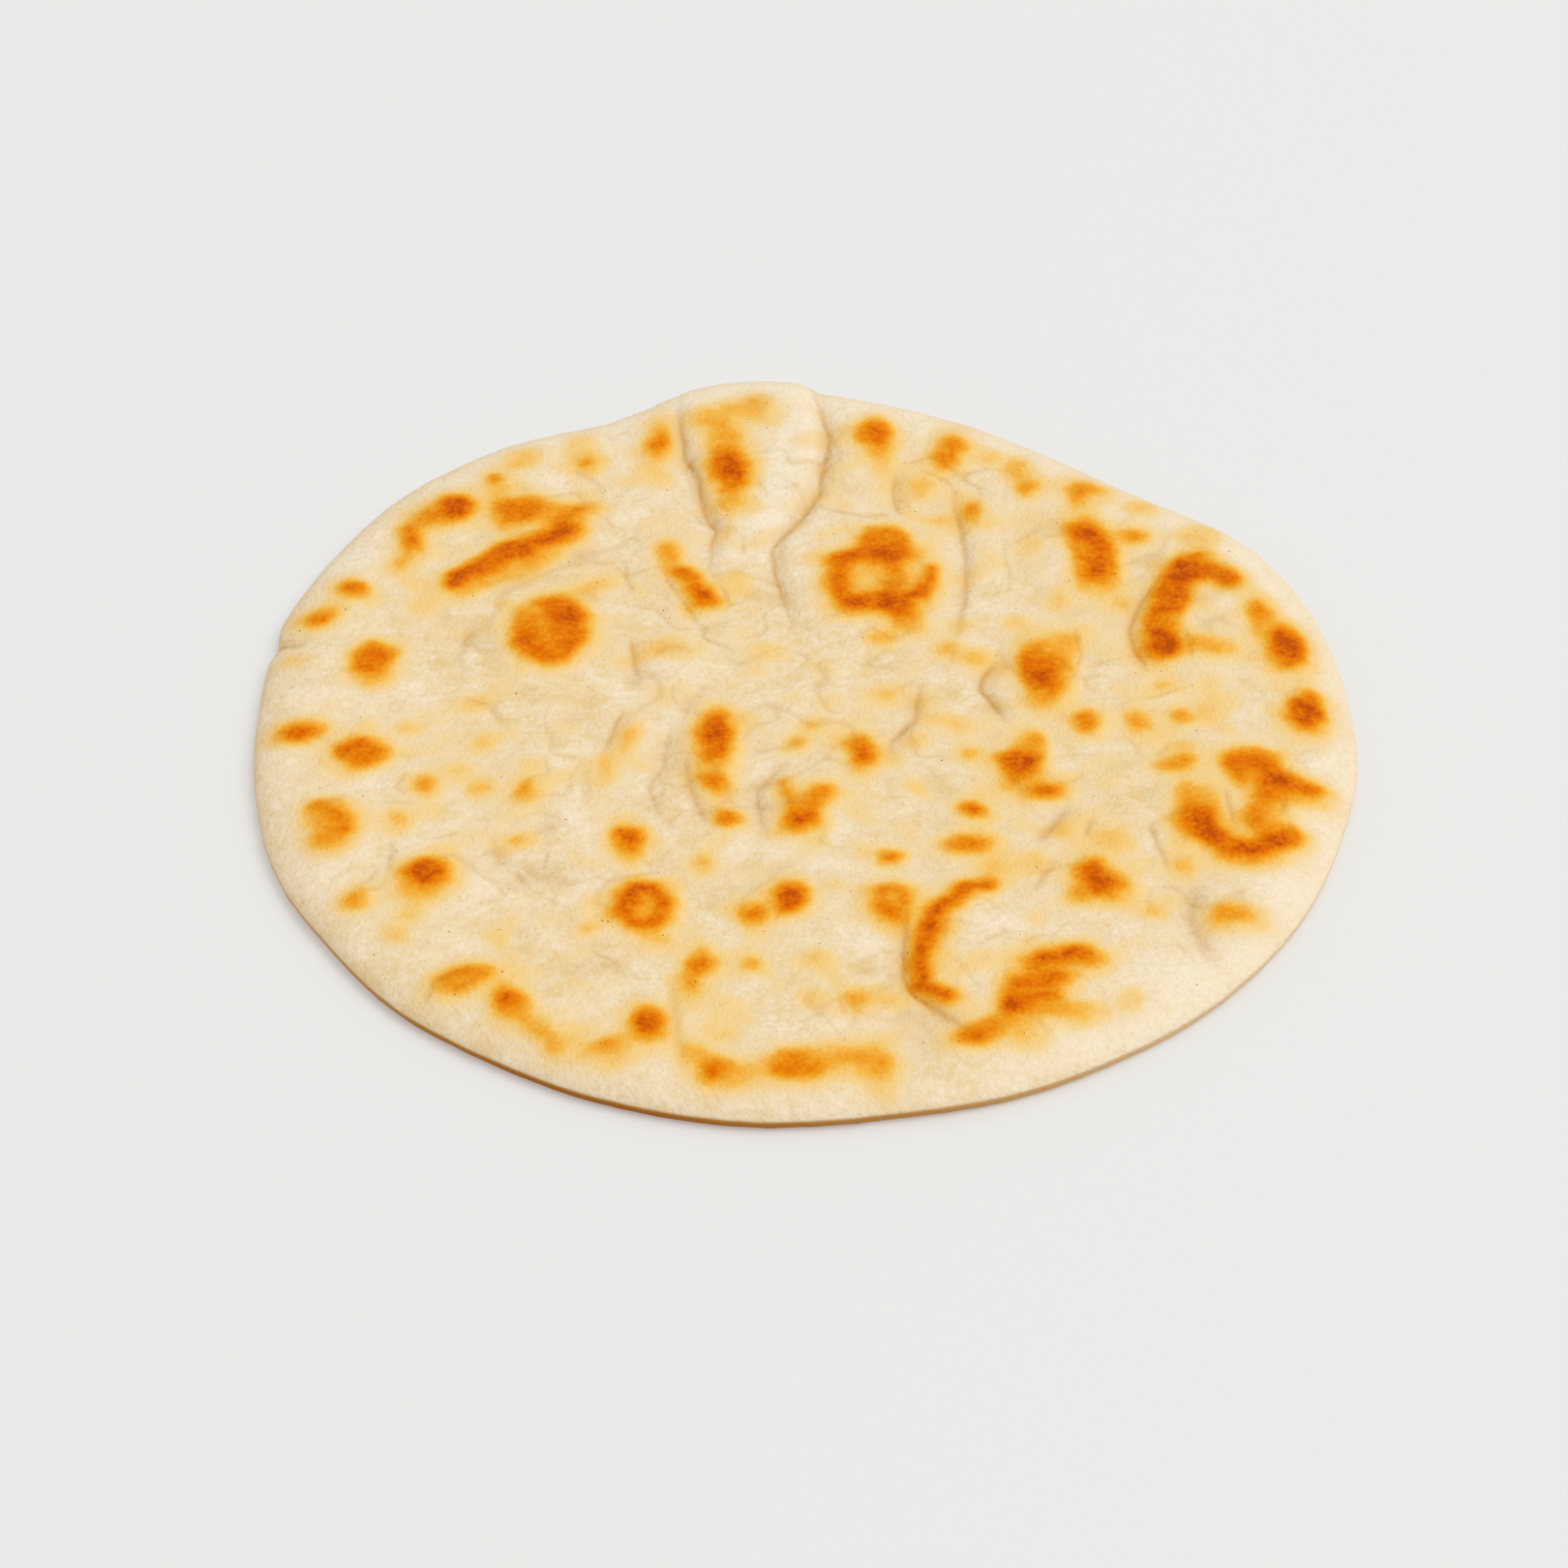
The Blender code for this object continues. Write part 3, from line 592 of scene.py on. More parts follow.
# %% From marks to one toast level
MARK_SPREAD = 0.25           # millimetres that each mark spreads past the border given above
MARK_SOFTNESS = 1.4          # millimetres either side of a mark's border over which it fades
DEEP_REACH = 2.6             # millimetres inside the border at which a mark is darkest
DEEP_SHARE = 0.2             # how much less toasted it is at its border
HALO_REACH = 2.4             # millimetres that the faint yellow ring reaches past the border
HALO_STRENGTH = 0.28         # toasting of that ring, as a share of the mark's own
MARK_GAIN = 1.05             # deepens all the marks alike
BLUSH_SIZE = 4.0             # millimetres: chance patches of a faint straw tint
BLUSH_STARTS = -0.2          # drifting value at which a patch starts
BLUSH_FULL = 0.8             # and at which it is full
BLUSH_STRENGTH = 0.18
BLUSH_SEED = 91
BLUSH_BORDER = 20.0          # millimetres in from the edge at which the patches are full
# How a border strays: over how many millimetres, by how much, and the seed
WANDER = ((6.0, 0.8, 21), (2.0, 0.35, 23))


def past_oval(x, y, centre_x, centre_y, half_width, half_depth, turn):
    """About how many millimetres outside the border of an oval points lie."""
    share = oval_share(x, y, centre_x, centre_y, half_width, half_depth, turn)
    return (share - 1.0) * min(half_width, half_depth)


def toasted(outside, strength):
    """Strength of one mark at distances outside its border, with its fading halo."""
    outside = outside - MARK_SPREAD
    core = smooth_step(0.5 - 0.5 * outside / MARK_SOFTNESS)
    core *= 1.0 - DEEP_SHARE * (1.0 - smooth_step(-outside / DEEP_REACH))
    halo = HALO_STRENGTH * np.exp(-(np.maximum(outside, 0.0) / HALO_REACH) ** 2)
    return np.minimum(1.0, MARK_GAIN * strength) * (halo + (1.0 - halo) * core)


def blush(x, y):
    """The faint straw tint of chance patches away from the edge."""
    chance = drift(lift(x, y), BLUSH_SIZE, BLUSH_SEED)
    patch = smooth_step((chance - BLUSH_STARTS) / (BLUSH_FULL - BLUSH_STARTS))
    return BLUSH_STRENGTH * patch * smooth_step(inward(x, y) / BLUSH_BORDER)


def toast_level(x, y):
    """How toasted the top is, from 0 for plain dough to 1 for the darkest marks."""
    x, y = strayed(x, y, WANDER)
    plain = 1.0 - blush(x, y)
    for *oval, strength, turn in with_turn(SPOTS, 5):
        plain *= 1.0 - toasted(past_oval(x, y, *oval, turn), strength)
    for path, half_width, strength in STREAKS:
        outside = distance_to_path(x, y, path)[0] - half_width
        plain *= 1.0 - toasted(outside, strength)
    level = 1.0 - plain
    for *oval, share, turn in with_turn(PALE_PLACES, 5):
        level *= 1.0 - toasted(past_oval(x, y, *oval, turn), share)
    return level


print("toast level in the middle:", toast_level(np.zeros(1), np.zeros(1)).round(3))

# %% [markdown]
# ## The skin
# The form is the solid's, but its rings lie about half a millimetre apart, so that fine creases,
# the low rise under each mark and the grain of the dough show. A ring has six more points than
# the one inside it, which keeps the triangles even. The top runs out over a rounded shoulder to
# the widest line, turns in under the edge and closes with the underside. Its height comes from
# one function, so the parts of the relief can be changed one by one. The thin wrinkles of drying
# skin have no place of their own: they lie along the lines where a drifting value passes zero.

# %% Heights of the top
BODY_THICKNESS = 5.6         # millimetres from the underside to the top where no blister is
SAG_TO_EDGE = 0.5            # how much thinner the body is near the edge than in the middle
MARK_RISE = 0.25             # how far the dough rises under the darkest marks
# Uneven dough: over how many millimetres, by how much, and the seed
DOUGH_ROLL = ((14.0, 0.2, 31), (6.0, 0.18, 32), (2.8, 0.13, 33))
# Wrinkles: over how many millimetres they turn, their width as a step of the drifting value,
# their depth, and the seed
WRINKLES = ((10.0, 0.05, 0.12, 81), (6.0, 0.07, 0.12, 83))
WRINKLE_WANDER = ((4.0, 1.2, 85), (1.6, 0.4, 87))    # how a wrinkle strays, as for the marks
WRINKLE_PATCH = 8.0          # millimetres: size of the patches that have wrinkles
WRINKLE_LEVEL = 0.2          # how far a patch is from none to full where its drift is zero
WRINKLE_CONTRAST = 1.6       # how steeply a patch changes from none to full
WRINKLE_BORDER = 12.0        # millimetres in from the edge at which they are full


def wrinkle_press(x, y):
    """Depth of the thin, wandering valleys that lie where a drifting value passes zero."""
    depth = np.zeros_like(x)
    place = lift(*strayed(x, y, WRINKLE_WANDER))
    for size, width, deep, seed in WRINKLES:
        valley = np.exp(-(drift(place, size, seed) / width) ** 2)
        patch = WRINKLE_LEVEL + WRINKLE_CONTRAST * drift(place, WRINKLE_PATCH, seed + 1)
        depth += deep * valley * smooth_step(patch)
    return depth * smooth_step(inward(x, y) / WRINKLE_BORDER)


def dough_roll(x, y):
    """Height of the uneven dough, without its blisters and creases."""
    return layered(lift(x, y), DOUGH_ROLL)


def top_height(x, y, level):
    """Height of the top above the underside, before the shoulder rounds it off."""
    height = BODY_THICKNESS - SAG_TO_EDGE * (np.hypot(x, y) / EDGE_RADIUS) ** 2
    height += blister_height(x, y) + shield_height(x, y) + MARK_RISE * level
    height -= crease_press(x, y, CREASES) + crease_press(x, y, UNEVEN_CREASES)
    return height + dough_roll(x, y) - wrinkle_press(x, y)


origin = np.zeros(1)
crown_height = top_height(origin, origin, toast_level(origin, origin))
print("height in the middle, mm:", crown_height.round(2))

# %% Rings of points
WIDEST_HEIGHT = 1.7          # millimetres: height at which the edge stands out furthest
SHOULDER_REACH = 10.0        # how far in the rounded top shoulder goes
UNDERCUT_REACH = 1.2         # how far in the edge is lifted off the table
TOP_RINGS = 160              # from the middle of the top to the widest line
SHOULDER_RINGS = 24          # how many of them lie on the rounded shoulder
UNDERCUT_RINGS = 7           # from the widest line down to the underside
UNDER_RINGS = 60             # from the middle of the underside to its border
POINTS_PER_RING = 6          # ring number k has this many times k points


def ring_of(number):
    """Angles round a ring."""
    return np.arange(POINTS_PER_RING * number) * (2.0 * math.pi / (POINTS_PER_RING * number))


def top_places():
    """For each point of the top: x, y and how much of its height the shoulder leaves."""
    flat_rings = TOP_RINGS - SHOULDER_RINGS
    places = []
    for number in range(1, TOP_RINGS + 1):
        angle = ring_of(number)
        flat_reach = edge_radius(angle) - SHOULDER_REACH
        turn = 0.5 * math.pi * max(0, number - flat_rings) / SHOULDER_RINGS
        reach = flat_reach * min(1.0, number / flat_rings) + SHOULDER_REACH * math.sin(turn)
        places.append(np.stack([reach * np.cos(angle), reach * np.sin(angle),
                                np.full_like(angle, math.cos(turn))]))
    return np.concatenate(places, axis=1)


def undercut_points(number):
    """Points of one ring of the lifted edge, counted down from the widest line."""
    angle = ring_of(TOP_RINGS)
    turn = 0.5 * math.pi * number / UNDERCUT_RINGS
    reach = edge_radius(angle) - UNDERCUT_REACH * (1.0 - math.cos(turn))
    height = WIDEST_HEIGHT * (1.0 - math.sin(turn))
    return lift(reach * np.cos(angle), reach * np.sin(angle), height)


def under_points(number):
    """Points of one ring of the flat underside, counted from its middle."""
    angle = ring_of(number)
    reach = (edge_radius(angle) - UNDERCUT_REACH) * number / (UNDER_RINGS + 1)
    return lift(reach * np.cos(angle), reach * np.sin(angle))


even_x, even_y, top_keep = top_places()
print("points on top:", len(even_x))

# %% Triangles between rings
def stitch(first, second):
    """Triangles between two rings of point numbers, walking round both by angle."""
    faces = []
    i = j = 0
    while i < len(first) or j < len(second):
        a, b = first[i % len(first)], second[j % len(second)]
        if i == len(first) or (j < len(second) and (j + 1) * len(first) <= (i + 1) * len(second)):
            j += 1
            faces.append((a, b, second[j % len(second)]))
        else:
            i += 1
            faces.append((a, b, first[i % len(first)]))
    return faces


def ring_numbers(counts, start):
    """Point numbers of each ring, for rings with those counts that follow one another."""
    ends = np.cumsum(counts) + start
    return [list(range(end - count, end)) for end, count in zip(ends, counts)]


def bread_faces():
    """Faces over the top, round the edge and in under the bread, all facing out."""
    counts = [POINTS_PER_RING * number for number in range(1, TOP_RINGS + 1)]
    counts += [counts[-1]] * UNDERCUT_RINGS
    counts += [POINTS_PER_RING * number for number in range(UNDER_RINGS, 0, -1)]
    rings = ring_numbers(counts, start=1)
    bottom = rings[-1][-1] + 1
    faces = [(0, a, b) for a, b in zip(rings[0], rings[0][1:] + rings[0][:1])]
    for first, second in zip(rings, rings[1:]):
        faces += stitch(first, second)
    faces += [(bottom, b, a) for a, b in zip(rings[-1], rings[-1][1:] + rings[-1][:1])]
    return faces


faces = bread_faces()
print("triangles:", len(faces))

# %% [markdown]
# A crease that runs between two rows of points shows as a blunt dent. The points next to it are
# moved onto its line, which makes it crisp without more triangles.

# %% Points drawn to the creases
CREASE_PULL = 0.26           # millimetres: points this near to a fine crease are moved onto it
THIN_TRIANGLE = 0.08         # square millimetres: no move leaves a triangle less than half of it


def drawn_to_creases(x, y):
    """The points, with those that nearly lie on a fine crease moved onto it, to keep it crisp."""
    for path, _, _ in UNEVEN_CREASES:
        for start, end in zip(path, path[1:]):
            foot_x, foot_y, _ = foot_on_run(x, y, start, end)
            near = np.hypot(foot_x - x, foot_y - y) < CREASE_PULL
            x, y = np.where(near, foot_x, x), np.where(near, foot_y, y)
    return x, y


def double_areas(x, y, triangles):
    """Twice the area of each triangle of the top."""
    (ax, bx, cx), (ay, by, cy) = x[triangles].T, y[triangles].T
    return np.abs((bx - ax) * (cy - ay) - (cx - ax) * (by - ay))


on_top = [face for face in faces if 0 < min(face) and max(face) <= len(even_x)]
top_triangles = np.array(on_top) - 1
drawn_x, drawn_y = drawn_to_creases(even_x, even_y)
thin = double_areas(drawn_x, drawn_y, top_triangles) < THIN_TRIANGLE
stays = top_keep < 1.0
stays[top_triangles[thin]] = True
top_x, top_y = np.where(stays, even_x, drawn_x), np.where(stays, even_y, drawn_y)
top_level = toast_level(top_x, top_y)
top_z = WIDEST_HEIGHT + (top_height(top_x, top_y, top_level) - WIDEST_HEIGHT) * top_keep
moved = np.count_nonzero(top_x != even_x)
print("points moved:", moved, " highest, mm:", top_z.max().round(2))

# %% [markdown]
# ## Putting the skin together
# The outline's middle isn't quite the middle of its box, and the solid's origin is, so the points
# are moved over by that difference. The grain of the dough then pushes each point a little along
# its normal. Last, the skin is eased into the solid's own box, so that it is never bigger.

# %% Helpers for the skin
def layout_points():
    """Every point of the skin in the layout's own coordinates, in the order of the faces."""
    crown = lift(origin, origin, crown_height)
    under = [under_points(number) for number in range(UNDER_RINGS, 0, -1)]
    undercut = [undercut_points(number) for number in range(1, UNDERCUT_RINGS + 1)]
    bottom = lift(origin, origin)
    return np.concatenate([crown, lift(top_x, top_y, top_z), *undercut, *under, bottom])


def centred(points):
    """Points moved so that the middle of their box is above the origin."""
    middle = 0.5 * (points.min(axis=0) + points.max(axis=0))
    return points - (middle[0], middle[1], 0.0)


def mesh_of(name, points, triangles):
    """A smooth mesh from points in millimetres."""
    mesh = bpy.data.meshes.new(name)
    mesh.from_pydata((points * MM).tolist(), [], triangles)
    mesh.shade_smooth()
    return mesh


def normals_of(mesh):
    """The normal at each point."""
    flat = np.empty(3 * len(mesh.vertices))
    mesh.vertices.foreach_get("normal", flat)
    return flat.reshape(-1, 3)


def eased_into_box(points, low, high):
    """Points drawn towards the middle of a box, each half by itself, until none is outside it."""
    middle = 0.5 * (low + high)
    away = points - middle
    below = np.minimum(1.0, (middle - low) / -away.min(axis=0))
    above = np.minimum(1.0, (high - middle) / away.max(axis=0))
    return middle + away * np.where(away < 0.0, below, above)


layout = layout_points()
print("points of the skin:", len(layout))

# %% Skin
# Grain of the dough, along the normal: over how many millimetres, by how much, and the seed
GRAIN = ((1.7, 0.05, 41), (3.6, 0.06, 42))
UNDER_DIMPLES = ((9.0, 0.06, 51), (3.0, 0.025, 52))    # the same for the underside, upwards only
ON_TABLE = 0.01              # millimetres: points lower than this belong to the underside

bread_points = centred(layout)
rough_mesh = mesh_of("rough", bread_points, faces)
grain = layered(bread_points, GRAIN)
bread_points = bread_points + grain[:, None] * normals_of(rough_mesh)
bpy.data.meshes.remove(rough_mesh)

on_table = layout[:, 2] < ON_TABLE
dimples = sum(rise for _, rise, _ in UNDER_DIMPLES) + layered(bread_points, UNDER_DIMPLES)
bread_points[:, 2] = np.where(on_table, dimples, bread_points[:, 2])
box_low, box_high = np.array(solid_low) / MM, np.array(solid_high) / MM
bread_points[:, 2] -= bread_points[:, 2].min() - box_low[2]
bread_points = eased_into_box(bread_points, box_low, box_high)
bread = add_object("pita_bread_skin", mesh_of("pita_bread_skin", bread_points, faces))
print("skin, mm:", np.ptp(bread_points, axis=0).round(2))

# %% [markdown]
# ## What the material needs to know
# Paint follows the mesh through attributes, one number for each point: how toasted the skin is,
# how much painted shade it gets in creases, in wrinkles and at the edge, how far the dough is from
# a raw ivory towards a baked tan, with painted shade in its hollows, and how brown the foot of the
# edge is. The underside isn't seen from above. It lay on the hot stone, so it gets spots of chance
# place and size.

# %% Toast of the underside
UNDER_SPOTS = 90
UNDER_SPOT_SIZES = (2.0, 7.0)    # millimetres: least and greatest radius
UNDER_STRENGTHS = (0.25, 0.95)   # least and greatest toasting
UNDER_SPOTS_REACH = 0.92     # they lie within this share of the edge's radius
UNDER_SEED = 61


def under_level(x, y):
    """How toasted the underside is: overlapping spots of chance size."""
    chance = np.random.default_rng(UNDER_SEED)
    plain = np.ones_like(x)
    x, y = strayed(x, y, WANDER)
    for _ in range(UNDER_SPOTS):
        reach = UNDER_SPOTS_REACH * EDGE_RADIUS * math.sqrt(chance.random())
        turn = 2.0 * math.pi * chance.random()
        size = chance.uniform(*UNDER_SPOT_SIZES)
        strength = chance.uniform(*UNDER_STRENGTHS)
        gap = np.hypot(x - reach * math.cos(turn), y - reach * math.sin(turn)) - size
        plain *= 1.0 - toasted(gap, strength)
    return 1.0 - plain


layout_x, layout_y, layout_z = layout.T
layout_side = np.degrees(np.arctan2(layout_y, layout_x))
within = inward(layout_x, layout_y)
is_top = np.arange(len(layout)) <= len(top_x)
near_table = smooth_step((WIDEST_HEIGHT - layout_z) / WIDEST_HEIGHT)
under_toast = under_level(layout_x, layout_y)
print("mean toast of the underside:", under_toast[layout_z < ON_TABLE].mean().round(2))

# %% [markdown]
# The plain dough isn't one colour. It is ivory at the rim, and tanned towards the middle in soft
# clouds. Painted shade makes hollows a little more tan and the crowns of lumps a little paler, and
# some blisters are paler than the dough round them.

# %% Tan of the dough
TAN_BORDER = 26.0            # millimetres in from the edge over which the ivory gives way to tan
TAN_MIDDLE = 0.6             # tan of the middle
TAN_SWING = 0.3              # how much its clouds add or take
TAN_CLOUD = 17.0             # millimetres: size of those clouds
TAN_SEED = 62
RIM_TAN = 0.75               # how much of the tan the rim has at its tanned side
RIM_TAN_AT = 225.0           # degrees: the side where the rim is tanned too
RIM_TAN_SPREAD = 75.0        # degrees
SHADE_IN_HOLLOWS = 0.6         # painted shade: how much more tan a hollow is, and paler a lump, per mm of depth or height
# x, y, half width, half depth, tan added (below 0 is paler), and a turn where there is one
DOUGH_TINTS = (
    (-3.5, 60, 5, 17, -0.7, -12), (-13, 47, 5, 6, -0.25), (4, 65, 2.5, 10, -0.15),
    (25, 42, 4, 8, -0.2), (2, 72, 3, 6, -0.3), (-31, 46, 6, 7, -0.2), (-62, 17, 8, 12, -0.1),
    (-65, -14, 8, 7, -0.2), (-49, -17, 7, 7, -0.15), (-50, -42, 8, 8, -0.1),
    (-3, -8, 8, 12, -0.15), (15, -12, 9, 9, -0.12), (17, 56, 6, 7, -0.25),
    (42, -72, 7, 4, -0.25, 20), (67, -52, 5, 5, -0.15), (-55, 18, 8, 7, -0.1),
    (-30, 42, 5, 6, -0.15), (-45, -36, 7, 6, -0.15), (20, 62, 5, 6, -0.15), (70, -6, 6, 6, 0.2),
    (43, -50, 8, 5, 0.15), (29, 25, 6, 11, 0.25), (-36, 2, 11, 22, 0.15),
    (-31, -57, 9, 12, 0.3), (-3, -62, 10, 13, 0.28), (21, -82, 5, 5, 0.25),
    (32, -52, 8, 8, 0.12), (47, -22, 5, 10, 0.2), (64, -41, 5, 5, 0.2), (9, 77, 7, 4, 0.2),
    (-50, 62, 8, 6, 0.15, 40),
)


def dough_tint(x, y):
    """Tan added to the plain dough at points, below 0 where it is paler."""
    tint = np.zeros_like(x)
    for *oval, added, turn in with_turn(DOUGH_TINTS, 5):
        tint += added * np.exp(-oval_share(x, y, *oval, turn) ** 2)
    return tint


def set_attribute(name, values):
    """One number for each point of the bread, for the material to read."""
    attribute = bread.data.attributes.new(name, "FLOAT", "POINT")
    attribute.data.foreach_set("value", values.astype(np.float32))
    print(name, "from", values.min().round(2), "to", values.max().round(2))


rim = 1.0 - smooth_step(within / TAN_BORDER)
rim *= 1.0 - RIM_TAN * towards_side(layout_side, RIM_TAN_AT, RIM_TAN_SPREAD)
drier = (1.0 - rim) * (TAN_MIDDLE + TAN_SWING * drift(layout, TAN_CLOUD, TAN_SEED))
drier += dough_tint(layout_x, layout_y)
# Painted shade: hollows of the uneven dough are made more tan, and its lumps paler.
set_attribute("tan", drier - SHADE_IN_HOLLOWS * dough_roll(layout_x, layout_y))

# %% [markdown]
# The foot of the edge came nearest to the hot stone. It is browned in a thin line, strongest at
# the front, and that line is what sets the bread off from the table.

# %% Foot of the edge, and the whole toast
FOOT_LEAST = 0.12            # how brown the foot of the edge is where it is palest
FOOT_TOAST = 0.35            # and how toasted where it is brownest
FOOT_AT = 250.0              # degrees: the side where it is brownest
FOOT_SPREAD = 52.0           # degrees
FOOT_ABOVE = 0.45            # millimetres above the widest line at which it begins
FOOT_FADE = 0.6              # millimetres of height after which it is full
FOOT_REACH = 4.0             # millimetres that it goes in under the bread

foot = FOOT_LEAST + (1.0 - FOOT_LEAST) * towards_side(layout_side, FOOT_AT, FOOT_SPREAD)
foot *= smooth_step((WIDEST_HEIGHT + FOOT_ABOVE - layout_z) / FOOT_FADE)
foot *= np.exp(-(within / FOOT_REACH) ** 2)
set_attribute("foot", foot)
toast = np.where(is_top, toast_level(layout_x, layout_y), under_toast * near_table)
set_attribute("toast", np.maximum(toast, FOOT_TOAST * foot))

# %% [markdown]
# Creases and wrinkles are darkened and warmed with painted shade, the shade that falls in a fold of
# dough. The outermost dough gets the same painted shade, more at the back than at the front.

# %% Painted shade of the creases and the edge
BROAD_CREASE_SHADE = 0.28            # how much of a broad crease's depth counts for its painted shade
EDGE_SHADE = 0.1              # painted shade of the outermost dough, as of a crease this many mm deep
EDGE_SHADE_LEAST = 0.4        # share of it on the side where it is palest
EDGE_SHADE_AT = 120.0         # degrees: the side where it is strongest
EDGE_SHADE_SPREAD = 90.0      # degrees
EDGE_SHADE_REACH = 3.5        # millimetres in from the edge

# Painted shade: fine creases, wrinkles and part of each broad crease darken the colour.
painted_shade = crease_press(layout_x, layout_y, UNEVEN_CREASES) + wrinkle_press(layout_x, layout_y)
painted_shade += BROAD_CREASE_SHADE * crease_press(layout_x, layout_y, CREASES)
# Painted shade along the outermost dough, where the edge curves away, strongest at the back left.
edge_shade = towards_side(layout_side, EDGE_SHADE_AT, EDGE_SHADE_SPREAD)
edge_shade = EDGE_SHADE_LEAST + (1.0 - EDGE_SHADE_LEAST) * edge_shade
painted_shade += EDGE_SHADE * edge_shade * np.exp(-(within / EDGE_SHADE_REACH) ** 2)
set_attribute("crease", np.where(is_top, painted_shade, 0.0))

# %% [markdown]
# ## Colours and nodes
# Colours are written the way a painter's chart writes them, as sRGB hex values, and one function
# turns them into the linear light that the shader works in. A second one adds a node, sets its
# values and links its inputs, so that a material reads as a list of what feeds what.

# %% Helpers for materials
SRGB_TOE = 0.04045           # up to here the sRGB curve is a straight line


def linear(hex_colour):
    """An sRGB hex colour as linear red, green, blue and an alpha of 1."""
    parts = [int(hex_colour[place:place + 2], 16) / 255.0 for place in (0, 2, 4)]
    light = [part / 12.92 if part <= SRGB_TOE else ((part + 0.055) / 1.055) ** 2.4
             for part in parts]
    return (*light, 1.0)


def add_node(tree, kind, inputs=None, **settings):
    """A node with its settings; an input given as a socket is linked, any other is set."""
    node = tree.nodes.new(kind)
    for name, value in settings.items():
        setattr(node, name, value)
    for name, value in (inputs or {}).items():
        if isinstance(value, bpy.types.NodeSocket):
            tree.links.new(value, node.inputs[name])
        else:
            node.inputs[name].default_value = value
    return node


def new_material(name):
    """An empty node material: itself, its tree and its Principled shader."""
    material = bpy.data.materials.new(name)
    material.use_nodes = True
    return material, material.node_tree, material.node_tree.nodes["Principled BSDF"]


def lumps(size):
    """The scale at which noise has lumps of about size millimetres."""
    return 1.0 / (size * MM)


print("half grey in linear light:", round(linear("808080")[0], 3))

# %% [markdown]
# ## Baked dough
# Wheat dough baked for a few minutes stays pale: ivory at the rim, a little tan where the crust is
# drier, and matte, because its skin is floury. The tan of the mesh, which also holds painted shade
# in the hollows, is broken up by clouds, and a finer noise adds the grain of the flour. A Mix node
# of colours has its share at input 0, its two colours at 6 and 7, and its result at output 2.

# %% Plain dough
NOISE = "ShaderNodeTexNoise"
MATH = "ShaderNodeMath"
MIX = "ShaderNodeMix"
ATTRIBUTE = "ShaderNodeAttribute"
IVORY = "F7E8CC"
TAN = "EACB90"
CLOUD_SIZE = 4.5             # millimetres: cloudy tint of the plain dough
CLOUD_DETAIL = 3.0           # how finely the clouds are broken up
CLOUD_GAIN, CLOUD_SHIFT = 2.6, -0.4    # turn the noise into a factor of about 0.9, either side
FLOUR_SIZE = 1.1             # millimetres: grain of the plain dough
FLOUR_SHARE = 0.6            # how much tan the flour takes or adds


def plain_dough(tree, place):
    """Ivory dough, tanned in clouds, with the painted shade of its hollows."""
    clouds = add_node(tree, NOISE, {"Vector": place, "Scale": lumps(CLOUD_SIZE),
                                    "Detail": CLOUD_DETAIL}).outputs[0]
    clouds = add_node(tree, MATH, {0: clouds, 1: CLOUD_GAIN, 2: CLOUD_SHIFT},
                      operation="MULTIPLY_ADD").outputs[0]
    # The tan of the mesh holds the painted shade of the hollows as well.
    tan = add_node(tree, ATTRIBUTE, attribute_name="tan").outputs["Fac"]
    tan = add_node(tree, MATH, {0: tan, 1: clouds}, operation="MULTIPLY", use_clamp=True).outputs[0]
    flour = add_node(tree, NOISE, {"Vector": place, "Scale": lumps(FLOUR_SIZE)}).outputs[0]
    flour = add_node(tree, MATH, {0: flour, 1: 2.0 * FLOUR_SHARE, 2: -FLOUR_SHARE},
                     operation="MULTIPLY_ADD").outputs[0]
    tan = add_node(tree, MATH, {0: tan, 1: flour}, operation="ADD", use_clamp=True).outputs[0]
    return add_node(tree, MIX, {0: tan, 6: linear(IVORY), 7: linear(TAN)},
                    data_type="RGBA").outputs[2]


print("plain dough from", IVORY, "to", TAN)

# %% [markdown]
# Where the dough touched the hot stone its sugars browned, through straw and amber to a deep
# orange brown. The browning is one number, so one ramp of colours paints every mark, and grain
# that is worked into the number makes its clouds and its speckle.

# %% Toasted dough
TOAST_STOPS = (
    (0.00, "F0D6AB"),
    (0.15, "F4D59B"),
    (0.30, "F5CE82"),
    (0.45, "F5BB50"),
    (0.60, "F2A42A"),
    (0.75, "EB8A08"),
    (0.90, "DF6A00"),
    (1.00, "BF5204"),
)
TOAST_START = 0.2            # browning at which the ramp has fully taken over from the dough
# Grain of the browned skin: millimetres across, and how much of the browning it takes or adds
CLOUDS_IN_MARKS = (3.0, 0.22)
SPECKLE_IN_MARKS = (0.8, 0.2)


def browning(tree, place):
    """The mesh's toast level with the grain of a browned skin worked in."""
    toast = add_node(tree, ATTRIBUTE, attribute_name="toast").outputs["Fac"]
    brown = toast
    for size, share in (CLOUDS_IN_MARKS, SPECKLE_IN_MARKS):
        grain = add_node(tree, NOISE, {"Vector": place, "Scale": lumps(size)}).outputs[0]
        grain = add_node(tree, MATH, {0: grain, 1: 2.0 * share, 2: -share},
                         operation="MULTIPLY_ADD").outputs[0]
        brown = add_node(tree, MATH, {0: toast, 1: grain, 2: brown},
                         operation="MULTIPLY_ADD").outputs[0]
    return brown


def toast_colour(tree, brown):
    """The colour of the ramp for a browning."""
    ramp = add_node(tree, "ShaderNodeValToRGB", {"Fac": brown})
    elements = ramp.color_ramp.elements
    elements[0].position, elements[-1].position = 0.0, 1.0
    while len(elements) < len(TOAST_STOPS):
        elements.new(0.5)
    for element, (place, colour) in zip(elements, TOAST_STOPS):
        element.position = place
        element.color = linear(colour)
    return ramp.outputs["Color"]


print("toast stops:", len(TOAST_STOPS))

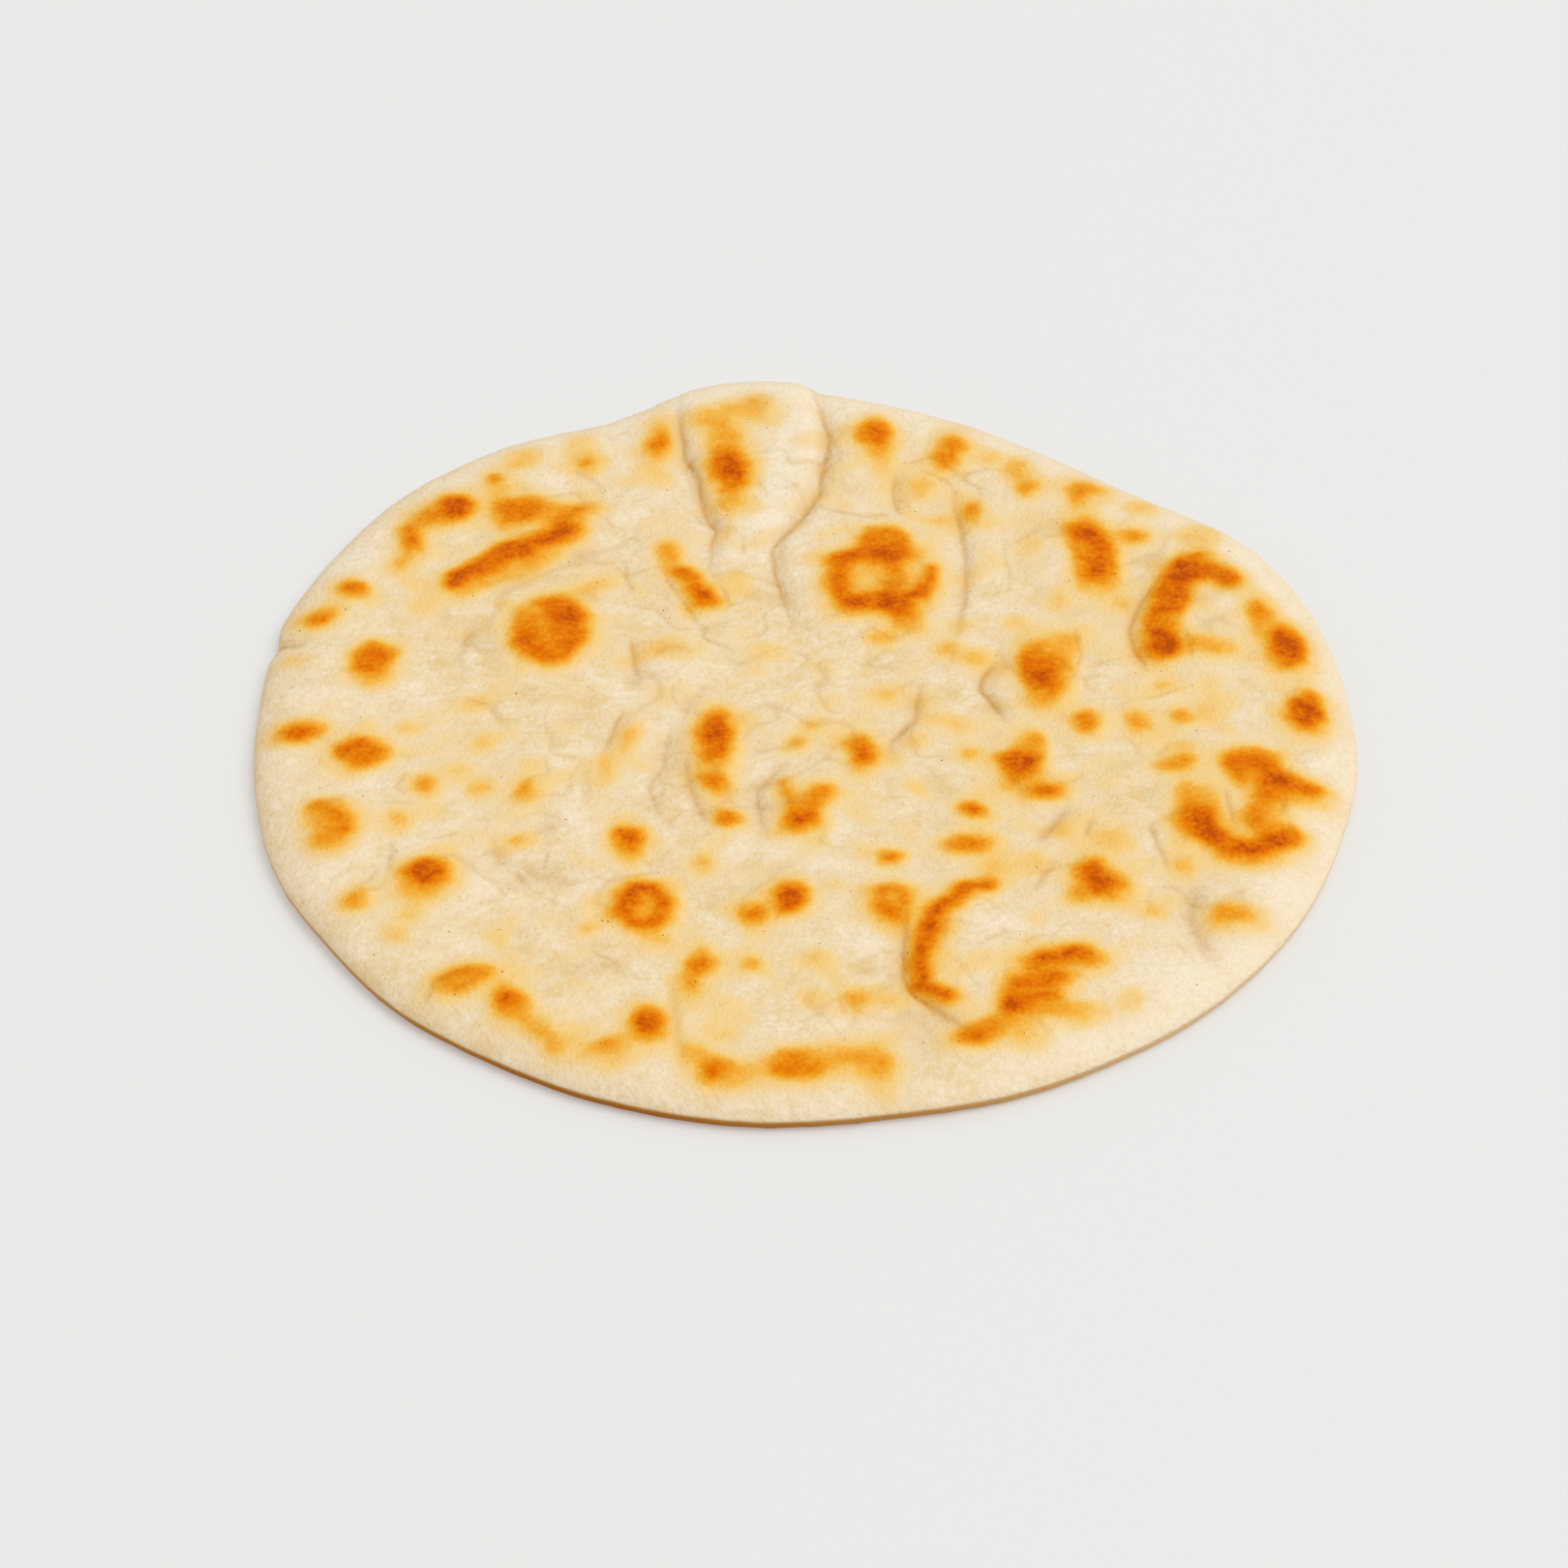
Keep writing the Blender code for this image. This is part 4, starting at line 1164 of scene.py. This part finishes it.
# %% [markdown]
# The shader of the whole skin comes last. The painted shade of the creases and the browned foot
# multiply the colour under them, so that marks run on through them. Two sizes of bump roughen the
# normal.
# The finer one is drawn coarser than real flour, because that would be too fine to show.

# %% Dough material
CREASE_SHADE = "DABB82"      # painted shade: multiplies the colour in a crease
CREASE_SHADE_GAIN = 2.4            # how strongly a crease of 1 mm is darkened by painted shade
FOOT_BROWN = "B08556"        # multiplies the colour of the foot
BUMP_SIZES = ((1.3, 0.13), (0.6, 0.12))    # millimetres across and high
DOUGH_ROUGHNESS = 0.68
DOUGH_SPECULAR = 0.03        # next to no gloss: flour lies on the skin


def dough_bump(tree, place):
    """A normal roughened by the grain of the skin."""
    inputs = {}
    for size, high in BUMP_SIZES:
        height = add_node(tree, NOISE, {"Vector": place, "Scale": lumps(size)}).outputs[0]
        inputs = {**inputs, "Height": height, "Distance": 2.0 * high * MM}
        inputs["Normal"] = add_node(tree, "ShaderNodeBump", inputs).outputs["Normal"]
    return inputs["Normal"]


def baked_dough():
    """Baked wheat dough, hand rolled: matte and floury ivory with browned marks."""
    material, tree, shader = new_material("baked_dough")
    place = add_node(tree, "ShaderNodeTexCoord").outputs["Object"]
    brown = browning(tree, place)
    taken_over = add_node(tree, MATH, {0: brown, 1: TOAST_START}, operation="DIVIDE",
                          use_clamp=True).outputs[0]
    colour = add_node(tree, MIX, {0: taken_over, 6: plain_dough(tree, place),
                                  7: toast_colour(tree, brown)}, data_type="RGBA").outputs[2]
    # Painted shade of the creases, the wrinkles and the edge, read from the mesh.
    crease = add_node(tree, ATTRIBUTE, attribute_name="crease").outputs["Fac"]
    crease = add_node(tree, MATH, {0: crease, 1: CREASE_SHADE_GAIN}, operation="MULTIPLY",
                      use_clamp=True).outputs[0]
    foot = add_node(tree, ATTRIBUTE, attribute_name="foot").outputs["Fac"]
    # Each multiplies the colour: first the painted shade, then the browned foot.
    for share, shade_and_stain in ((crease, CREASE_SHADE), (foot, FOOT_BROWN)):
        colour = add_node(tree, MIX, {0: share, 6: colour, 7: linear(shade_and_stain)}, data_type="RGBA",
                          blend_type="MULTIPLY").outputs[2]
    tree.links.new(colour, shader.inputs["Base Color"])
    tree.links.new(dough_bump(tree, place), shader.inputs["Normal"])
    shader.inputs["Roughness"].default_value = DOUGH_ROUGHNESS
    shader.inputs["Specular IOR Level"].default_value = DOUGH_SPECULAR
    return material


bread.data.materials.append(baked_dough())
print("nodes in the dough:", len(bread.data.materials[0].node_tree.nodes))

# %% [markdown]
# ## Specks of bran
# A few flecks of bran and scorched flour lie in the skin. They are real little flakes, and
# Geometry Nodes scatter them: points on the faces that look up, a flattened ball on each point,
# turned and sized by chance. The tree ends in real mesh, because the export drops instances.

# %% Material of the specks
BRAN_DARK = "5A3413"
BRAN_BROWN = "8A5A26"
BRAN_CLOUD = 4.0             # millimetres: wider than a speck, so that each has its own brown
BRAN_ROUGHNESS = 0.8


def scorched_bran():
    """Scorched bran: a dry husk, matte and dark brown."""
    material, tree, shader = new_material("scorched_bran")
    place = add_node(tree, "ShaderNodeTexCoord").outputs["Object"]
    share = add_node(tree, NOISE, {"Vector": place, "Scale": lumps(BRAN_CLOUD)}).outputs[0]
    colour = add_node(tree, MIX, {0: share, 6: linear(BRAN_DARK), 7: linear(BRAN_BROWN)},
                      data_type="RGBA").outputs[2]
    tree.links.new(colour, shader.inputs["Base Color"])
    shader.inputs["Roughness"].default_value = BRAN_ROUGHNESS
    return material


print("bran from", BRAN_DARK, "to", BRAN_BROWN)

# %% Geometry nodes that scatter specks
SPECK_RADIUS = 0.16          # millimetres
SPECK_FLATNESS = 0.4         # thickness as a share of the ball's
SPECK_LEAST = (0.6, 0.4, SPECK_FLATNESS)    # least length, width and thickness, in radii
SPECK_MOST = (1.5, 1.0, SPECK_FLATNESS)     # and the greatest
SPECKS_PER_SQUARE_CM = 0.4
SQUARE_CM_PER_SQUARE_METRE = 1e4
SPECK_SEED = 71
LOOKS_UP = 0.8               # least upward part of a face's normal where specks lie


def new_input(tree, name, kind):
    """A named input of a node tree; returns its identifier."""
    return tree.interface.new_socket(name, in_out="INPUT", socket_type=kind).identifier


def scatter_tree():
    """Geometry Nodes that lay flattened balls on the upward faces of their input."""
    tree = bpy.data.node_groups.new("scatter_specks", "GeometryNodeTree")
    names = {
        "Bread": new_input(tree, "Bread", "NodeSocketGeometry"),
        "Radius": new_input(tree, "Radius", "NodeSocketFloat"),
        "Per square metre": new_input(tree, "Per square metre", "NodeSocketFloat"),
        "Seed": new_input(tree, "Seed", "NodeSocketInt"),
        "Material": new_input(tree, "Material", "NodeSocketMaterial"),
    }
    tree.interface.new_socket("Specks", in_out="OUTPUT", socket_type="NodeSocketGeometry")
    given = add_node(tree, "NodeGroupInput").outputs
    normal = add_node(tree, "GeometryNodeInputNormal").outputs[0]
    upward = add_node(tree, "ShaderNodeSeparateXYZ", {0: normal}).outputs["Z"]
    looks_up = add_node(tree, "FunctionNodeCompare", {0: upward, 1: LOOKS_UP},
                        data_type="FLOAT", operation="GREATER_THAN").outputs[0]
    points = add_node(tree, "GeometryNodeDistributePointsOnFaces", {
        "Mesh": given["Bread"],
        "Selection": looks_up,
        "Density": given["Per square metre"],
        "Seed": given["Seed"],
    }, distribute_method="RANDOM")
    ball = add_node(tree, "GeometryNodeMeshIcoSphere", {"Radius": given["Radius"]})
    sizes = add_node(tree, "FunctionNodeRandomValue", {
        "Min": SPECK_LEAST,
        "Max": SPECK_MOST,
        "Seed": given["Seed"],
    }, data_type="FLOAT_VECTOR").outputs[0]
    placed = add_node(tree, "GeometryNodeInstanceOnPoints", {
        "Points": points.outputs["Points"],
        "Instance": ball.outputs["Mesh"],
        "Rotation": points.outputs["Rotation"],
        "Scale": sizes,
    })
    real = add_node(tree, "GeometryNodeRealizeInstances", {0: placed.outputs[0]})
    painted = add_node(tree, "GeometryNodeSetMaterial", {
        "Geometry": real.outputs[0],
        "Material": given["Material"],
    })
    add_node(tree, "NodeGroupOutput", {0: painted.outputs[0]})
    return tree, names


speck_tree, speck_inputs = scatter_tree()
print("nodes that scatter specks:", len(speck_tree.nodes))

# %% [markdown]
# A second object that shares the bread's mesh carries the nodes. What they make is kept as a
# plain mesh of its own, and that second object goes away again.

# %% Specks
def scatter_specks():
    """The specks as one plain mesh."""
    maker = add_object("speck_maker", bread.data)
    modifier = maker.modifiers.new("scatter", "NODES")
    modifier.node_group = speck_tree
    modifier[speck_inputs["Radius"]] = SPECK_RADIUS * MM
    modifier[speck_inputs["Per square metre"]] = SPECKS_PER_SQUARE_CM * SQUARE_CM_PER_SQUARE_METRE
    modifier[speck_inputs["Seed"]] = SPECK_SEED
    modifier[speck_inputs["Material"]] = scorched_bran()
    evaluated = maker.evaluated_get(bpy.context.evaluated_depsgraph_get())
    mesh = bpy.data.meshes.new_from_object(evaluated)
    bpy.data.objects.remove(maker)
    return add_object("bran_specks", mesh)


specks = scatter_specks()
print("speck triangles:", len(specks.data.polygons))

# %% [markdown]
# ## Floor and light
# The bread lies on a plain pale floor, such as a white sheet on a light table. It is lit a little
# from below as well, which keeps the shadow round the edge of the bread pale.

# %% Floor
FLOOR_SIDE = 8.0             # metres
FLOOR_GAP = 0.05             # millimetres under the bread
FLOOR_WHITE = "C3C2C0"
FLOOR_GLOW = "EDECEA"        # colour of the light from below
FLOOR_GLOW_STRENGTH = 0.325
FLOOR_ROUGHNESS = 0.9        # matte, as paper is


def add_floor():
    """A plain pale floor that isn't part of the bread."""
    half = 0.5 * FLOOR_SIDE
    height = -FLOOR_GAP * MM
    corners = [(-half, -half, height), (half, -half, height), (half, half, height),
               (-half, half, height)]
    mesh = bpy.data.meshes.new("floor")
    mesh.from_pydata(corners, [], [(0, 1, 2, 3)])
    floor = add_object("floor", mesh)
    material, _, shader = new_material("pale_floor")
    shader.inputs["Base Color"].default_value = linear(FLOOR_WHITE)
    shader.inputs["Emission Color"].default_value = linear(FLOOR_GLOW)
    shader.inputs["Emission Strength"].default_value = FLOOR_GLOW_STRENGTH
    shader.inputs["Roughness"].default_value = FLOOR_ROUGHNESS
    mesh.materials.append(material)


add_floor()
print("floor, m:", FLOOR_SIDE, "square")

# %% [markdown]
# A very wide, soft lamp hangs high up at the right, a little nearer to the camera than the bread
# is, so that every blister has a bright side and a softly shaded one. A pale sky all round fills
# the shadows, as white studio walls do. The plain view transform keeps the colours as painted.

# %% Light
KEY_TURN = -16.0             # degrees from straight right; below 0 is towards the camera
KEY_HEIGHT = 60.0            # degrees above the horizontal
KEY_DISTANCE = 8.0           # metres
KEY_SIDE = 6.0               # metres along a side of the lamp
KEY_POWER = 296.4            # watts
SKY_WHITE = "FFFFFF"
SKY_STRENGTH = 0.674


def add_key_lamp():
    """A square soft lamp that faces the bread."""
    turn, height = math.radians(KEY_TURN), math.radians(KEY_HEIGHT)
    towards = Vector((math.cos(turn) * math.cos(height), math.sin(turn) * math.cos(height),
                      math.sin(height)))
    data = bpy.data.lights.new("key_lamp", "AREA")
    data.size = KEY_SIDE
    data.energy = KEY_POWER
    lamp = add_object("key_lamp", data)
    lamp.location = towards * KEY_DISTANCE
    lamp.rotation_euler = towards.to_track_quat("Z", "Y").to_euler()


def add_sky():
    """Even pale light from all round."""
    world = bpy.data.worlds.new("studio")
    world.use_nodes = True
    background = world.node_tree.nodes["Background"]
    background.inputs["Color"].default_value = linear(SKY_WHITE)
    background.inputs["Strength"].default_value = SKY_STRENGTH
    bpy.context.scene.world = world


add_key_lamp()
add_sky()
bpy.context.scene.view_settings.view_transform = "Standard"
print("lamp, W:", KEY_POWER, " sky:", SKY_STRENGTH)

# %% [markdown]
# ## Riding on the body
# The skin stands for the solid and rides on its body, and so do the specks.

# %% Ride, and hide the solid
for piece in (bread, specks):
    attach(piece, "root")
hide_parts("pita_bread")
